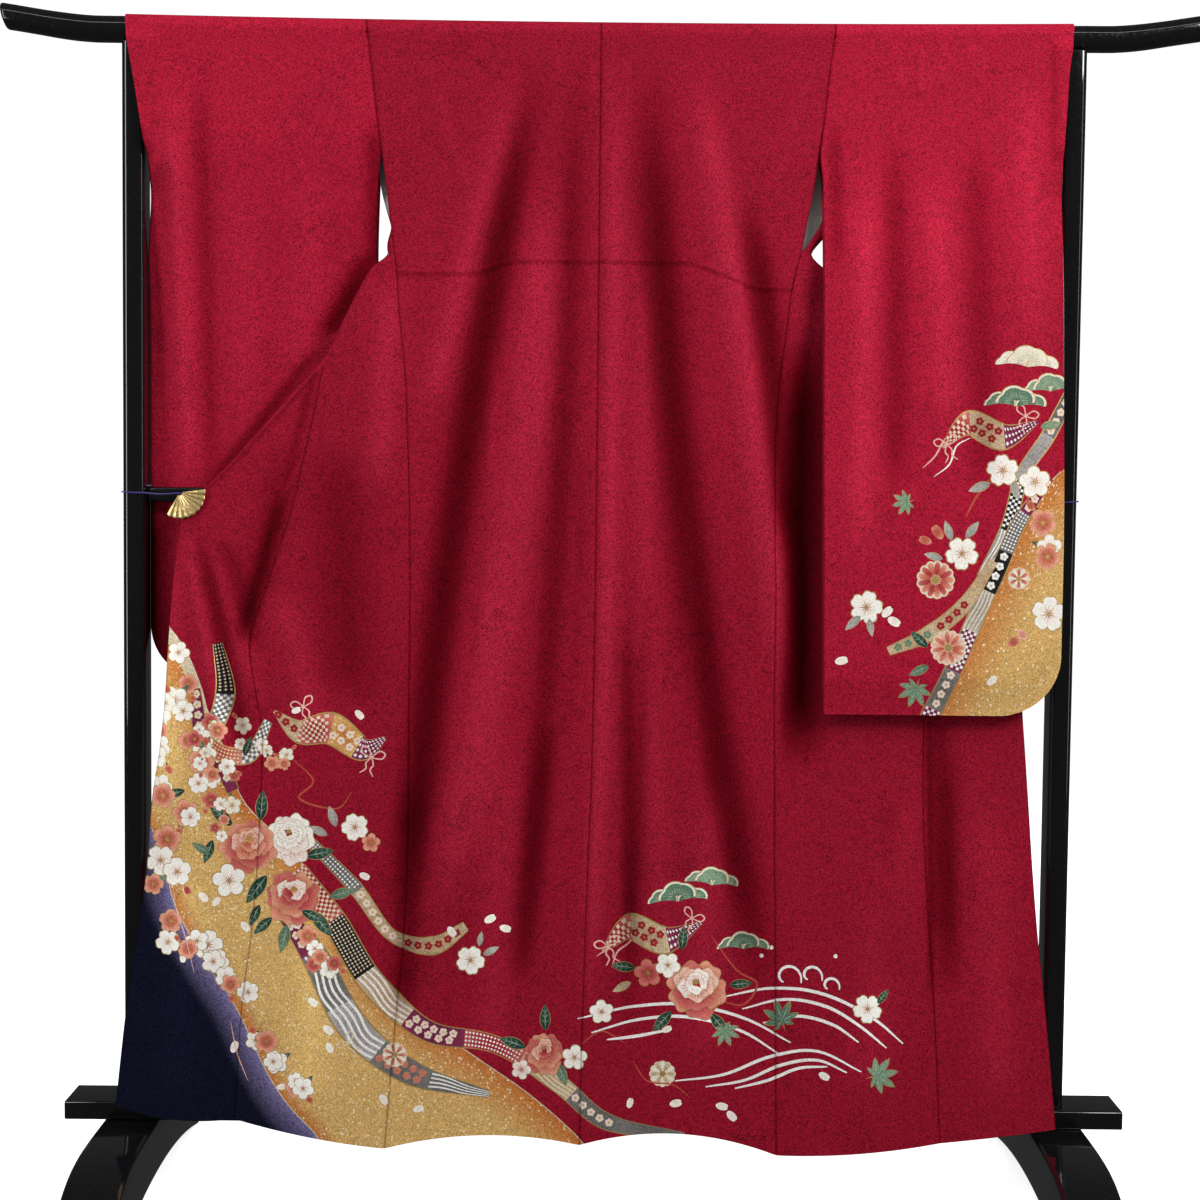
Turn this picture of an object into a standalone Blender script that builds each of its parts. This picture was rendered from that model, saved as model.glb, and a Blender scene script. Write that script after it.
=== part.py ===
"""Furisode kimono hung over a black lacquered stand, its back turned to the viewer.

X runs to the viewer's right, Y away from the viewer and Z up. The origin lies on the floor,
midway between the two feet. Left and right are the viewer's, with the garment seen from behind.
"""
import math
from collections import namedtuple

import bmesh
import bpy
import numpy as np

# Cloth
CLOTH = 0.002  # outer silk and lining together
SEAM_GAP = 0.0003  # between two pieces that are sewn to each other

# Top bar, round, with its ends turned up
BAR_RADIUS = 0.019
BAR_HALF_LENGTH = 0.865
BAR_HEIGHT = 1.679  # centre line above the posts
BAR_SAG = 0.005
BAR_LIFT = 0.022
BAR_BEND = 0.720  # where its ends begin to rise
BAR_EVEN = 0.600
BAR_SIDES = 20

# Posts, crossbar, base beam and feet
POST_OUTER = 0.691
POST_WIDTH = 0.032
POST_DEPTH = 0.050
POST_CORNER = 0.008
POST_INNER = POST_OUTER - POST_WIDTH
CROSSBAR_LOW, CROSSBAR_HIGH = 1.000, 1.022
CROSSBAR_DEPTH = 0.020
BEAM_HALF_LENGTH = 0.775
BEAM_LOW, BEAM_HIGH = 0.0955, 0.1225
BEAM_DEPTH = 0.084
FOOT_CENTRE = 0.677
FOOT_WIDTH = 0.082
FOOT_HALF_LENGTH = 0.335
FOOT_TIP = 0.030
FOOT_PAD_END = 0.325
FOOT_BEVEL = 0.005
FOOT_ARCH_HALF, FOOT_ARCH = 0.250, 0.026
RAIL_BEVEL = 0.0015  # at the ends of the straight rails

# Heights of the garment's landmarks
WRAP = BAR_RADIUS + 0.0009 + CLOTH  # outer face of the cloth round the bar
BACK_EDGE = 1.652  # where the back length ends behind the bar
ARMHOLE_END = 1.527  # sleeve is sewn on above this
ARMPIT = 1.366  # side seam begins here
CUFF_END = 1.480  # the cuff is open above this
KENSAKI = 1.360  # pointed top of the overlap panel
OKUMI_TOP = 1.340  # where that panel is wide enough to make
CLIP_HEIGHT = 1.000
LEVEL_LOW = 0.100  # nominal level of the hem

# Collar
COLLAR_WIDTH = 0.058
COLLAR_THICK = 0.004
COLLAR_END = 1.035
COLLAR_STANDS = 1.500  # above this the band turns on edge round the neck
NECK_HALF = 0.040

SLEEVE_WIDTH = 0.335
SLEEVE_CORNER = 0.088  # radius of the sleeve's round lower corner
CORNER_STEPS = 4

# The front's upper edge, between its fold and the armpit
EDGE_RISE = 0.074  # height over which the fold opens into a hanging edge
LOOSE_RISE = 0.140
LOOSE = {-1: 0.009, 1: 0.024}  # how far that edge stands out loosely on each side
FLAT_BELOW = 1.010  # the front is spread in one layer below the clips

# How far a sleeve bows out round the post's top
POST_BOW = {"near": 0.0090, "far": 0.0095}

# The left sleeve's outer edge turns forward beside the post
TURN_START = 0.6195
TURN_WIDTH = 0.0345
TURNED_DEPTH = 0.0160
TURN_TOP = 1.400

# Fan clips: a pleated plate over a bent spring strip
FAN_PIVOT = (0.600, 1.0145)
FAN_RADIUS = 0.036
FAN_START, FAN_END = -120.0, 8.0
FAN_PLEATS = 9
FAN_PLATE, FAN_RIB = 0.0016, 0.0011
FAN_RADII = (0.004, 0.014, 0.026, FAN_RADIUS)
FAN_POINT = 0.0012  # how far the ribs' tips reach past the pleats
JAW_THICK, JAW_WIDTH = 0.0012, 0.010
JAW_LOW = 0.990
JAW_INNER, JAW_OUTER = 0.579, 0.6025
JAW_ROOM = 0.0072  # inside, from the front leg to the back leg

CORD_RADIUS = 0.001
CORD_SAG = 0.0015
CORD_CLEAR = 0.0016  # from the post's face to the cord's centre line
CORD_LEVEL = 1.0135

LACQUER = (0.006, 0.006, 0.007)
CRIMSON = (0.42, 0.008, 0.028)
GOLD = (0.80, 0.52, 0.16)
VIOLET = (0.05, 0.03, 0.30)

Depth = namedtuple("Depth", "z back front near_left far_left near_right far_right push radius")
DEPTHS = (  # how far each layer lies behind the bar's centre line, and the radius of the front's fold
    Depth(1.660, -0.0219, 0.0219, -0.0219, 0.0219, -0.0219, 0.0219, 0.000, 0.0100),
    Depth(1.600, -0.0240, 0.0195, -0.0240, 0.0195, -0.0240, 0.0170, 0.000, 0.0100),
    Depth(1.527, -0.0270, 0.0090, -0.0270, 0.0090, -0.0290, 0.0060, 0.000, 0.0100),
    Depth(1.440, -0.0315, -0.0060, -0.0190, 0.0110, -0.0430, -0.0200, 0.000, 0.0100),
    Depth(1.366, -0.0360, -0.0160, -0.0080, 0.0160, -0.0550, -0.0390, 0.000, 0.0100),
    Depth(1.300, -0.0410, -0.0210, 0.0000, 0.0230, -0.0620, -0.0460, 0.010, 0.0100),
    Depth(1.200, -0.0480, -0.0300, 0.0080, 0.0300, -0.0670, -0.0500, 0.012, 0.0090),
    Depth(1.100, -0.0550, -0.0390, 0.0140, 0.0340, -0.0730, -0.0560, 0.013, 0.0070),
    Depth(1.000, -0.0620, -0.0560, 0.0170, 0.0360, -0.0810, -0.0630, 0.014, 0.0030),
    Depth(0.850, -0.0720, -0.0660, 0.0180, 0.0350, -0.0890, -0.0710, 0.014, 0.0030),
    Depth(0.700, -0.0810, -0.0750, 0.0180, 0.0320, -0.0950, -0.0790, 0.014, 0.0030),
    Depth(0.400, -0.0980, -0.0920, 0.0180, 0.0320, -0.0950, -0.0790, 0.004, 0.0030),
    Depth(0.070, -0.1130, -0.1070, 0.0180, 0.0320, -0.0950, -0.0790, 0.000, 0.0030),
)

Side = namedtuple("Side", "z seam okumi fold end")
SIDES = {  # distance from the centre line of the side seam, overlap seam, outer fold and front's inner edge
    -1: (
        Side(1.700, 0.342, 0.390, 0.3420, 0.030),
        Side(1.652, 0.336, 0.390, 0.3360, 0.052),
        Side(1.620, 0.332, 0.390, 0.3320, 0.080),
        Side(1.558, 0.325, 0.390, 0.3250, 0.092),
        Side(1.450, 0.310, 0.390, 0.3100, 0.130),
        Side(1.366, 0.299, 0.390, 0.3040, 0.175),
        Side(1.338, 0.295, 0.390, 0.3320, 0.198),
        Side(1.300, 0.292, 0.391, 0.3530, 0.227),
        Side(1.249, 0.287, 0.392, 0.3780, 0.272),
        Side(1.210, 0.283, 0.396, 0.3970, 0.307),
        Side(1.178, 0.280, 0.401, 0.4250, 0.338),
        Side(1.138, 0.278, 0.408, 0.4600, 0.378),
        Side(1.095, 0.276, 0.417, 0.4970, 0.425),
        Side(1.055, 0.274, 0.426, 0.5320, 0.478),
        Side(1.020, 0.273, 0.433, 0.5670, 0.530),
        Side(1.000, 0.272, 0.438, 0.5900, 0.567),
        Side(0.978, 0.272, 0.444, 0.5970, 0.577),
        Side(0.934, 0.271, 0.458, 0.6040, 0.590),
        Side(0.875, 0.270, 0.477, 0.6100, 0.602),
        Side(0.800, 0.270, 0.498, 0.6150, 0.612),
        Side(0.722, 0.270, 0.487, 0.6190, 0.6185),
        Side(0.658, 0.270, 0.478, 0.6250, 0.6250),
        Side(0.577, 0.270, 0.480, 0.6360, 0.6360),
        Side(0.484, 0.271, 0.484, 0.6420, 0.6420),
        Side(0.397, 0.274, 0.490, 0.6530, 0.6530),
        Side(0.271, 0.285, 0.504, 0.6680, 0.6680),
        Side(0.100, 0.299, 0.514, 0.6840, 0.6840),
    ),
    1: (
        Side(1.700, 0.332, 0.390, 0.3320, 0.030),
        Side(1.652, 0.326, 0.390, 0.3260, 0.052),
        Side(1.620, 0.322, 0.390, 0.3220, 0.080),
        Side(1.558, 0.316, 0.390, 0.3160, 0.092),
        Side(1.450, 0.301, 0.390, 0.3010, 0.130),
        Side(1.366, 0.285, 0.390, 0.3000, 0.175),
        Side(1.338, 0.277, 0.390, 0.3260, 0.198),
        Side(1.300, 0.270, 0.391, 0.3500, 0.227),
        Side(1.249, 0.264, 0.392, 0.3780, 0.272),
        Side(1.210, 0.259, 0.396, 0.3990, 0.307),
        Side(1.178, 0.255, 0.401, 0.4270, 0.338),
        Side(1.138, 0.253, 0.408, 0.4620, 0.378),
        Side(1.095, 0.251, 0.417, 0.4990, 0.425),
        Side(1.055, 0.251, 0.426, 0.5340, 0.478),
        Side(1.020, 0.251, 0.433, 0.5690, 0.530),
        Side(1.000, 0.251, 0.438, 0.5900, 0.567),
        Side(0.978, 0.251, 0.444, 0.5970, 0.577),
        Side(0.934, 0.251, 0.455, 0.6020, 0.588),
        Side(0.875, 0.252, 0.464, 0.6050, 0.597),
        Side(0.800, 0.252, 0.469, 0.6080, 0.605),
        Side(0.722, 0.252, 0.469, 0.6100, 0.6095),
        Side(0.658, 0.253, 0.468, 0.6145, 0.6145),
        Side(0.577, 0.254, 0.468, 0.6200, 0.6200),
        Side(0.484, 0.255, 0.472, 0.6260, 0.6260),
        Side(0.397, 0.257, 0.478, 0.6330, 0.6330),
        Side(0.271, 0.259, 0.487, 0.6460, 0.6460),
        Side(0.100, 0.262, 0.496, 0.6620, 0.6620),
    ),
}

Centre = namedtuple("Centre", "z x")
CENTRE_SEAM = (
    Centre(1.700, -0.005),
    Centre(1.000, -0.005),
    Centre(0.610, -0.008),
    Centre(0.525, -0.011),
    Centre(0.240, -0.018),
    Centre(0.100, -0.020),
)

Hem = namedtuple("Hem", "inner middle outer")
HEMS = {  # height of the hem at each panel's inner seam, middle and outer seam
    "back_left": Hem(0.088, 0.101, 0.080),
    "front_left": Hem(0.080, 0.095, 0.121),
    "okumi_left": Hem(0.121, 0.119, 0.139),
    "back_right": Hem(0.088, 0.106, 0.076),
    "front_right": Hem(0.076, 0.079, 0.096),
    "okumi_right": Hem(0.096, 0.106, 0.118),
}

Cuff = namedtuple("Cuff", "z inner near_outer far_outer")
SLEEVES = {  # distance from the centre line of the sleeve's inner edge and of each wall's outer edge
    -1: (
        Cuff(1.700, 0.342, 0.688, 0.688),
        Cuff(1.660, 0.337, 0.682, 0.682),
        Cuff(1.628, 0.333, 0.676, 0.676),
        Cuff(1.571, 0.326, 0.666, 0.6555),
        Cuff(1.527, 0.321, 0.659, 0.6535),
        Cuff(1.480, 0.322, 0.652, 0.652),
        Cuff(1.440, 0.3235, 0.6525, 0.6525),
        Cuff(1.350, 0.326, 0.6555, 0.6555),
        Cuff(0.720, 0.326, 0.6555, 0.6555),
    ),
    1: (
        Cuff(1.700, 0.332, 0.673, 0.673),
        Cuff(1.660, 0.327, 0.668, 0.657),
        Cuff(1.628, 0.323, 0.664, 0.655),
        Cuff(1.571, 0.3175, 0.661, 0.655),
        Cuff(1.527, 0.312, 0.658, 0.654),
        Cuff(1.480, 0.3135, 0.656, 0.655),
        Cuff(1.440, 0.314, 0.656, 0.656),
        Cuff(1.000, 0.318, 0.661, 0.661),
        Cuff(0.700, 0.321, 0.658, 0.658),
    ),
}
SLEEVE_BOTTOM = {-1: 0.735, 1: 0.709}

Fold = namedtuple("Fold", "x_top z_top x_low z_low bend width height")
BODY_FOLDS = (  # soft ridges, and valleys with a negative height, seen from the back
    Fold(-0.125, 1.62, -0.255, 1.10, 0.000, 0.022, 0.0060),
    Fold(-0.095, 1.66, -0.272, 0.40, -0.018, 0.024, -0.0105),
    Fold(-0.085, 1.48, -0.225, 0.40, 0.030, 0.026, 0.0100),
    Fold(-0.042, 1.66, -0.110, 0.30, 0.015, 0.018, -0.0050),
    Fold(0.012, 1.66, -0.015, 0.20, 0.014, 0.016, 0.0070),
    Fold(0.062, 1.66, 0.245, 0.28, -0.030, 0.026, -0.0095),
    Fold(0.050, 1.45, 0.110, 0.25, -0.012, 0.018, 0.0040),
    Fold(0.072, 0.92, 0.045, 0.25, 0.000, 0.012, -0.0040),
    Fold(0.128, 1.64, 0.268, 0.72, 0.008, 0.022, 0.0100),
    Fold(0.200, 1.45, 0.266, 0.92, 0.012, 0.020, -0.0090),
    Fold(-0.302, 1.34, -0.318, 1.00, 0.000, 0.022, 0.0060),
    Fold(0.165, 0.62, 0.150, 0.18, 0.000, 0.028, 0.0050),
    Fold(-0.135, 0.70, -0.150, 0.15, 0.000, 0.026, 0.0040),
    Fold(-0.596, 0.97, -0.520, 0.60, 0.000, 0.012, 0.0060),
    Fold(-0.575, 0.96, -0.500, 0.62, 0.000, 0.014, -0.0060),
    Fold(-0.612, 0.96, -0.610, 0.55, 0.000, 0.016, 0.0050),
    Fold(-0.455, 0.88, -0.400, 0.66, 0.000, 0.022, 0.0050),
    Fold(-0.380, 1.10, -0.350, 0.70, 0.000, 0.040, -0.0040),
    Fold(-0.588, 0.50, -0.600, 0.12, 0.000, 0.030, 0.0040),
    Fold(-0.400, 0.45, -0.410, 0.12, 0.000, 0.030, 0.0040),
    Fold(0.440, 0.60, 0.380, 0.12, 0.000, 0.030, 0.0040),
    Fold(0.486, 0.74, 0.500, 0.35, 0.000, 0.018, -0.0050),
    Fold(0.560, 0.60, 0.580, 0.12, 0.000, 0.028, 0.0040),
)
SLEEVE_FOLDS = {  # folds of the sleeve's near wall, by their distance from the centre line
    -1: (
        Fold(0.618, 1.62, 0.600, 0.98, 0.000, 0.020, 0.0060),
        Fold(0.578, 1.64, 0.572, 1.00, 0.000, 0.014, -0.0030),
        Fold(0.520, 1.50, 0.520, 0.90, 0.000, 0.030, 0.0030),
        Fold(0.420, 1.50, 0.440, 1.10, 0.000, 0.030, 0.0030),
    ),
    1: (
        Fold(0.375, 1.50, 0.368, 0.90, 0.000, 0.022, 0.0060),
        Fold(0.470, 1.48, 0.490, 1.10, 0.000, 0.022, 0.0050),
        Fold(0.602, 1.64, 0.615, 1.20, 0.000, 0.024, 0.0040),
        Fold(0.414, 1.55, 0.420, 1.00, 0.000, 0.018, -0.0040),
        Fold(0.530, 1.55, 0.545, 1.00, 0.000, 0.020, -0.0035),
        Fold(0.420, 1.68, 0.420, 1.60, 0.000, 0.008, 0.0030),
        Fold(0.452, 1.68, 0.452, 1.59, 0.000, 0.008, 0.0035),
        Fold(0.484, 1.68, 0.484, 1.60, 0.000, 0.008, 0.0030),
        Fold(0.530, 1.68, 0.530, 1.61, 0.000, 0.010, 0.0025),
    ),
}
TUCK_HEIGHT, TUCK_DEPTH = 1.350, 0.0022  # tuck sewn across the back at the waist

# Columns and rows of the walls
BACK_COLUMNS, FRONT_COLUMNS, OKUMI_COLUMNS = 13, 14, 8
NEAR_COLUMNS, FAR_COLUMNS = 11, 7
WRAP_STEPS = 8
BODY_LEVELS = (
    1.640, 1.600, 1.558, 1.527, 1.490, 1.450, 1.410, 1.370, 1.352, 1.342, 1.300, 1.255, 1.210, 1.170,
    1.130, 1.090, 1.050, 1.015, 0.985, 0.940, 0.890, 0.840, 0.790, 0.730, 0.670, 0.600, 0.520, 0.440,
    0.350, 0.260, 0.175, 0.100,
)
NEAR_LEVELS = (
    1.655, 1.640, 1.625, 1.605, 1.580, 1.550, 1.527, 1.500, 1.470, 1.420, 1.366, 1.300, 1.230, 1.150,
    1.070, 1.000, 0.930, 0.870, 0.820, 0.780, 0.755, 0.735,
)
FAR_LEVELS = (
    1.655, 1.630, 1.605, 1.565, 1.527, 1.500, 1.460, 1.366, 1.230, 1.070, 0.930, 0.820, 0.770, 0.735,
)


def smooth(t):
    """Ease from 0 to 1 as t goes from 0 to 1."""
    t = np.clip(t, 0.0, 1.0)
    return t * t * (3.0 - 2.0 * t)


def read_table(rows, column, z):
    """Value of a table's column at height z, on a curve that never overshoots its rows."""
    z = np.asarray(z, float)
    xs = np.array([row.z for row in rows])[::-1]
    ys = np.array([getattr(row, column) for row in rows])[::-1]
    slope = np.diff(ys) / np.diff(xs)
    tangent = np.zeros(len(xs))
    same = slope[1:] * slope[:-1] > 0
    tangent[1:-1][same] = 2.0 * (slope[1:] * slope[:-1])[same] / (slope[1:] + slope[:-1])[same]
    tangent[0], tangent[-1] = slope[0], slope[-1]
    z = np.clip(z, xs[0], xs[-1])
    i = np.clip(np.searchsorted(xs, z) - 1, 0, len(xs) - 2)
    step = xs[i + 1] - xs[i]
    t = (z - xs[i]) / step
    return (
        ys[i] * (1 + 2 * t) * (1 - t) ** 2
        + tangent[i] * step * t * (1 - t) ** 2
        + ys[i + 1] * t * t * (3 - 2 * t)
        + tangent[i + 1] * step * t * t * (t - 1)
    )


def bar_shift(x):
    """Rise of the bar's centre line: it sags between the posts and turns up at both ends."""
    sag = BAR_SAG * (1.0 - np.clip(np.abs(x) / POST_OUTER, 0.0, 1.0) ** 2)
    lift = BAR_LIFT * smooth((np.abs(x) - BAR_BEND) / (BAR_HALF_LENGTH - 0.66))
    return lift - sag


def relief(folds, x, z):
    """Height of the soft folds at a place on the cloth: each is a bell across its own slanting line."""
    height = np.zeros(np.broadcast(x, z).shape)
    for fold in folds:
        t = (fold.z_top - z) / (fold.z_top - fold.z_low)
        line = fold.x_top + (fold.x_low - fold.x_top) * t + 4.0 * fold.bend * t * (1.0 - t)
        fade = smooth((t + 0.02) / 0.25) * smooth((1.02 - t) / 0.20)
        height += fold.height * fade * np.exp(-(((x - line) / fold.width) ** 2))
    return height


def normals_of(points):
    """Unit normal at each point of a grid, from its neighbours along the rows and columns."""
    down = np.gradient(points, axis=0)
    along = np.gradient(points, axis=1)
    normal = np.cross(along, down)
    length = np.linalg.norm(normal, axis=-1, keepdims=True)
    return normal / np.maximum(length, 1e-12)


def new_object(name, verts, faces, colour, roughness, metallic=0.0):
    """A closed mesh with its own material."""
    mesh = bpy.data.meshes.new(name)
    mesh.from_pydata([tuple(v) for v in verts], [], faces)
    mesh.update()
    obj = bpy.data.objects.new(name, mesh)
    bpy.context.collection.objects.link(obj)
    obj.data.materials.append(new_material(name, colour, roughness, metallic))
    return obj


def new_material(name, colour, roughness, metallic):
    """A Principled material."""
    material = bpy.data.materials.new(name + "_finish")
    material.use_nodes = True
    shader = material.node_tree.nodes["Principled BSDF"]
    shader.inputs["Base Color"].default_value = (*colour, 1.0)
    shader.inputs["Roughness"].default_value = roughness
    shader.inputs["Metallic"].default_value = metallic
    return material


def wall_faces(rows, columns):
    """Quads of two facing grids and of the rim that joins them."""
    index = np.arange(rows * columns).reshape(rows, columns)
    back = index + rows * columns
    a, b, c, d = index[:-1, :-1], index[:-1, 1:], index[1:, 1:], index[1:, :-1]
    outer = np.stack([a, d, c, b], -1).reshape(-1, 4)
    a, b, c, d = back[:-1, :-1], back[:-1, 1:], back[1:, 1:], back[1:, :-1]
    inner = np.stack([a, b, c, d], -1).reshape(-1, 4)
    rim = np.concatenate([index[0, :], index[1:, -1], index[-1, -2::-1], index[-2:0:-1, 0]])
    turn = np.roll(rim, -1)
    size = rows * columns
    edge = np.stack([rim, turn, turn + size, rim + size], -1)
    return np.concatenate([outer, inner, edge]).tolist()


def facing(points, outward):
    """The grid's unit normals, turned to agree with the direction given for its first point."""
    normal = normals_of(points)
    return normal if float(np.dot(normal[0, 0], outward)) > 0.0 else -normal


def squared(normal, axis):
    """Unit normals without their part along an axis, so that the walls on both sides of a seam stay apart."""
    flat = normal.copy()
    flat[..., axis] = 0.0
    return flat / np.linalg.norm(flat, axis=-1, keepdims=True)


def cloth_wall(name, points, normal, colour, thickness=CLOTH):
    """A wall whose outer face is the grid and whose inner face is the grid moved in along its normals."""
    inner = points - normal * thickness
    rows, columns = points.shape[:2]
    verts = np.concatenate([points.reshape(-1, 3), inner.reshape(-1, 3)])
    faces = wall_faces(rows, columns)
    obj = new_object(name, verts, faces, colour, 0.55)
    fix_facing(obj)
    obj.data.shade_smooth()
    obj.data.set_sharp_from_angle(angle=math.radians(50))
    return obj


def fix_facing(obj):
    """Turn the faces of a closed mesh outwards."""
    mesh = bmesh.new()
    mesh.from_mesh(obj.data)
    bmesh.ops.triangulate(mesh, faces=mesh.faces)
    bmesh.ops.recalc_face_normals(mesh, faces=mesh.faces)
    if mesh.calc_volume(signed=True) < 0.0:
        bmesh.ops.reverse_faces(mesh, faces=mesh.faces)
    mesh.to_mesh(obj.data)
    mesh.free()


def hem_height(panel, t):
    """Height of the hem across a panel, on the parabola through its three named heights."""
    hem = HEMS[panel]
    return hem.inner * (1 - t) * (1 - 2 * t) + 4.0 * hem.middle * t * (1 - t) + hem.outer * t * (2 * t - 1)


def hang(level, x, hem):
    """Height of a point at a nominal level: rows near the hem follow its curve, and the top row the bar."""
    low = smooth((0.50 - level) / (0.50 - LEVEL_LOW))
    high = smooth((level - 1.50) / 0.15)
    return level + (hem - LEVEL_LOW) * low + bar_shift(x) * high


def back_panel(side):
    """Outer points of one back length, from behind the bar over its top and down to the hem."""
    name = "back_left" if side < 0 else "back_right"
    t = np.linspace(0.0, 1.0, BACK_COLUMNS + 1)
    angles = np.linspace(0.0, math.pi, WRAP_STEPS + 1)
    heights = np.concatenate([[BACK_EDGE], BAR_HEIGHT + WRAP * np.sin(angles), BODY_LEVELS])
    level = np.minimum(heights, 1.70)
    depth = np.concatenate([[WRAP], WRAP * np.cos(angles), read_table(DEPTHS, "back", BODY_LEVELS)])
    seam = side * (read_table(SIDES[side], "seam", level) - SEAM_GAP / 2)
    middle = read_table(CENTRE_SEAM, "x", level) + side * SEAM_GAP / 2
    x = middle[:, None] + (seam - middle)[:, None] * t[None, :]
    z = hang(heights[:, None], x, hem_height(name, t)[None, :])
    y = np.repeat(depth[:, None], len(t), 1)
    front = smooth((1.672 - z) / 0.06) * (np.arange(len(heights)) > WRAP_STEPS)[:, None]
    y = y - front * (relief(BODY_FOLDS, x, z) + tuck(x, z))
    return np.stack([x, y, z], -1)


def tuck(x, z):
    """The small step of the waist tuck: the cloth above it stands proud just over its seam."""
    line = TUCK_HEIGHT + 0.010 * (1.0 - (x / 0.27) ** 2)
    above = np.clip((z - line + 0.008) / 0.008, 0.0, 1.0)
    return TUCK_DEPTH * above * smooth((line + 0.10 - z) / 0.10)


def edge_free(z):
    """From 0 below the armpit, where the front is folded, to 1 where its edge hangs open."""
    return smooth((z - ARMPIT) / EDGE_RISE)


def loose_edge(side, z):
    """How far the front's edge above the armpit stands out from the side seam's line."""
    return LOOSE[side] * np.sin(math.pi * np.clip((z - ARMPIT) / LOOSE_RISE, 0.0, 1.0))


def front_row(side, z, s):
    """Place at arc length s along a level row of a front, from the side seam outwards.

    The row runs out to the fold, turns through a half circle and runs back behind.
    """
    radius = read_table(DEPTHS, "radius", z)
    seam = read_table(SIDES[side], "seam", z)
    out = np.maximum(read_table(SIDES[side], "fold", z) - radius - seam, 0.0)
    free = edge_free(z)
    start = math.pi * free
    push = read_table(DEPTHS, "push", z) if side > 0 else 0.0
    going = np.minimum(s, out)
    angle = start + np.clip(s - out, 0.0, radius * (math.pi - start)) / radius
    back = np.maximum(s - out - radius * (math.pi - start), 0.0)
    x = seam + loose_edge(side, z) + going + radius * np.sin(angle) - back
    centre = read_table(DEPTHS, "back", z) + push * smooth(s / 0.045) + radius
    folded = centre - radius * np.cos(angle)
    hanging = read_table(DEPTHS, "front", z) - radius - radius * np.cos(angle)
    return side * x, folded * (1.0 - free) + hanging * free


def row_lengths(side, z):
    """Arc lengths of a front row: to its fold, round it, to the overlap seam and to its inner edge."""
    radius = read_table(DEPTHS, "radius", z)
    seam = read_table(SIDES[side], "seam", z)
    fold = read_table(SIDES[side], "fold", z)
    end = read_table(SIDES[side], "end", z)
    out = np.maximum(fold - radius - seam, 0.0)
    turn = radius * math.pi * (1.0 - edge_free(z))
    total = out + turn + (seam + loose_edge(side, z) + out - end)
    if z <= FLAT_BELOW:
        blend = smooth((z - 0.93) / 0.08)
        curled = out + radius + 1.2 * np.clip(fold - end, 0.0, None)
        total = total * blend + curled * (1.0 - blend)
    share = smooth((z - 1.205) / (KENSAKI - 1.205))
    visible = np.minimum(read_table(SIDES[side], "okumi", z) - seam, out)
    joined = visible * (1.0 - share) + total * share
    return out, turn, joined, total


def spread(count, out, turn, first, last):
    """Column positions between two arc lengths, with the middle columns kept on the fold."""
    even = np.linspace(0.0, 1.0, count + 1)
    length = last - first
    middle = np.clip((out + 0.5 * turn - first) / length, 0.0, 1.0)
    half = np.minimum(0.575 * turn / length, 0.3)
    lead = np.clip(middle - half, 0.12, 0.84 - half)
    trail = np.clip(middle + half, lead + 0.03, 0.90)
    warped = np.interp(even, [0.0, 0.36, 0.64, 1.0], [0.0, float(lead), float(trail), 1.0])
    inside = float(smooth((out + turn - first) / 0.03) * smooth((last - out) / 0.03))
    return first + length * (warped * inside + even * (1.0 - inside))


def lap_at(side, z):
    """How far the overlap panel runs under the front's folded lip, and how far behind it lies."""
    if side > 0:
        return 0.0, 0.0
    under = 0.020 * float(smooth((z - 0.815) / 0.06) * smooth((1.165 - z) / 0.05))
    step = 0.0034 * float(smooth((z - 0.750) / 0.05) * smooth((1.205 - z) / 0.03))
    return under, step


def front_grid(side, levels, part, columns):
    """Outer points of a front panel or of its overlap panel."""
    name = part + ("_left" if side < 0 else "_right")
    grid = []
    t = np.linspace(0.0, 1.0, columns + 1)
    for level in levels:
        out, turn, joined, total = (float(v) for v in row_lengths(side, level))
        under, step = lap_at(side, level)
        if part == "front":
            s = spread(columns, out, turn, SEAM_GAP / 2, joined - SEAM_GAP / 2)
            step = 0.0
        else:
            s = spread(columns, out, turn, joined + SEAM_GAP / 2 - under, total)
        x, y = front_row(side, level, s)
        z = hang(level, x, hem_height(name, t))
        shown = smooth((out - s) / (0.02 if level < FLAT_BELOW else 0.05)) * (level < 1.60)
        y = y + step * smooth((out + 0.004 - s) / 0.01) - shown * relief(BODY_FOLDS, x, z)
        grid.append(np.stack([x, y, z], -1))
    return np.array(grid)


def panel_levels(top):
    """Levels of a panel's rows from its top edge down to the hem."""
    return [top] + [level for level in BODY_LEVELS if level < top - 0.008]


def sleeve_outline(side, columns):
    """Shares across the sleeve, closer together round the lower corner, and the bottom edge there."""
    straight = columns - CORNER_STEPS
    corner = SLEEVE_CORNER / SLEEVE_WIDTH
    flat = np.linspace(0.0, 1.0 - corner, straight + 1)
    angles = np.linspace(0.0, math.pi / 2, CORNER_STEPS + 1)[1:]
    share = np.concatenate([flat, 1.0 - corner + corner * np.sin(angles)])
    rise = np.concatenate([np.zeros(straight + 1), SLEEVE_CORNER * (1.0 - np.cos(angles))])
    return share, SLEEVE_BOTTOM[side] + rise * 0.97


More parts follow.
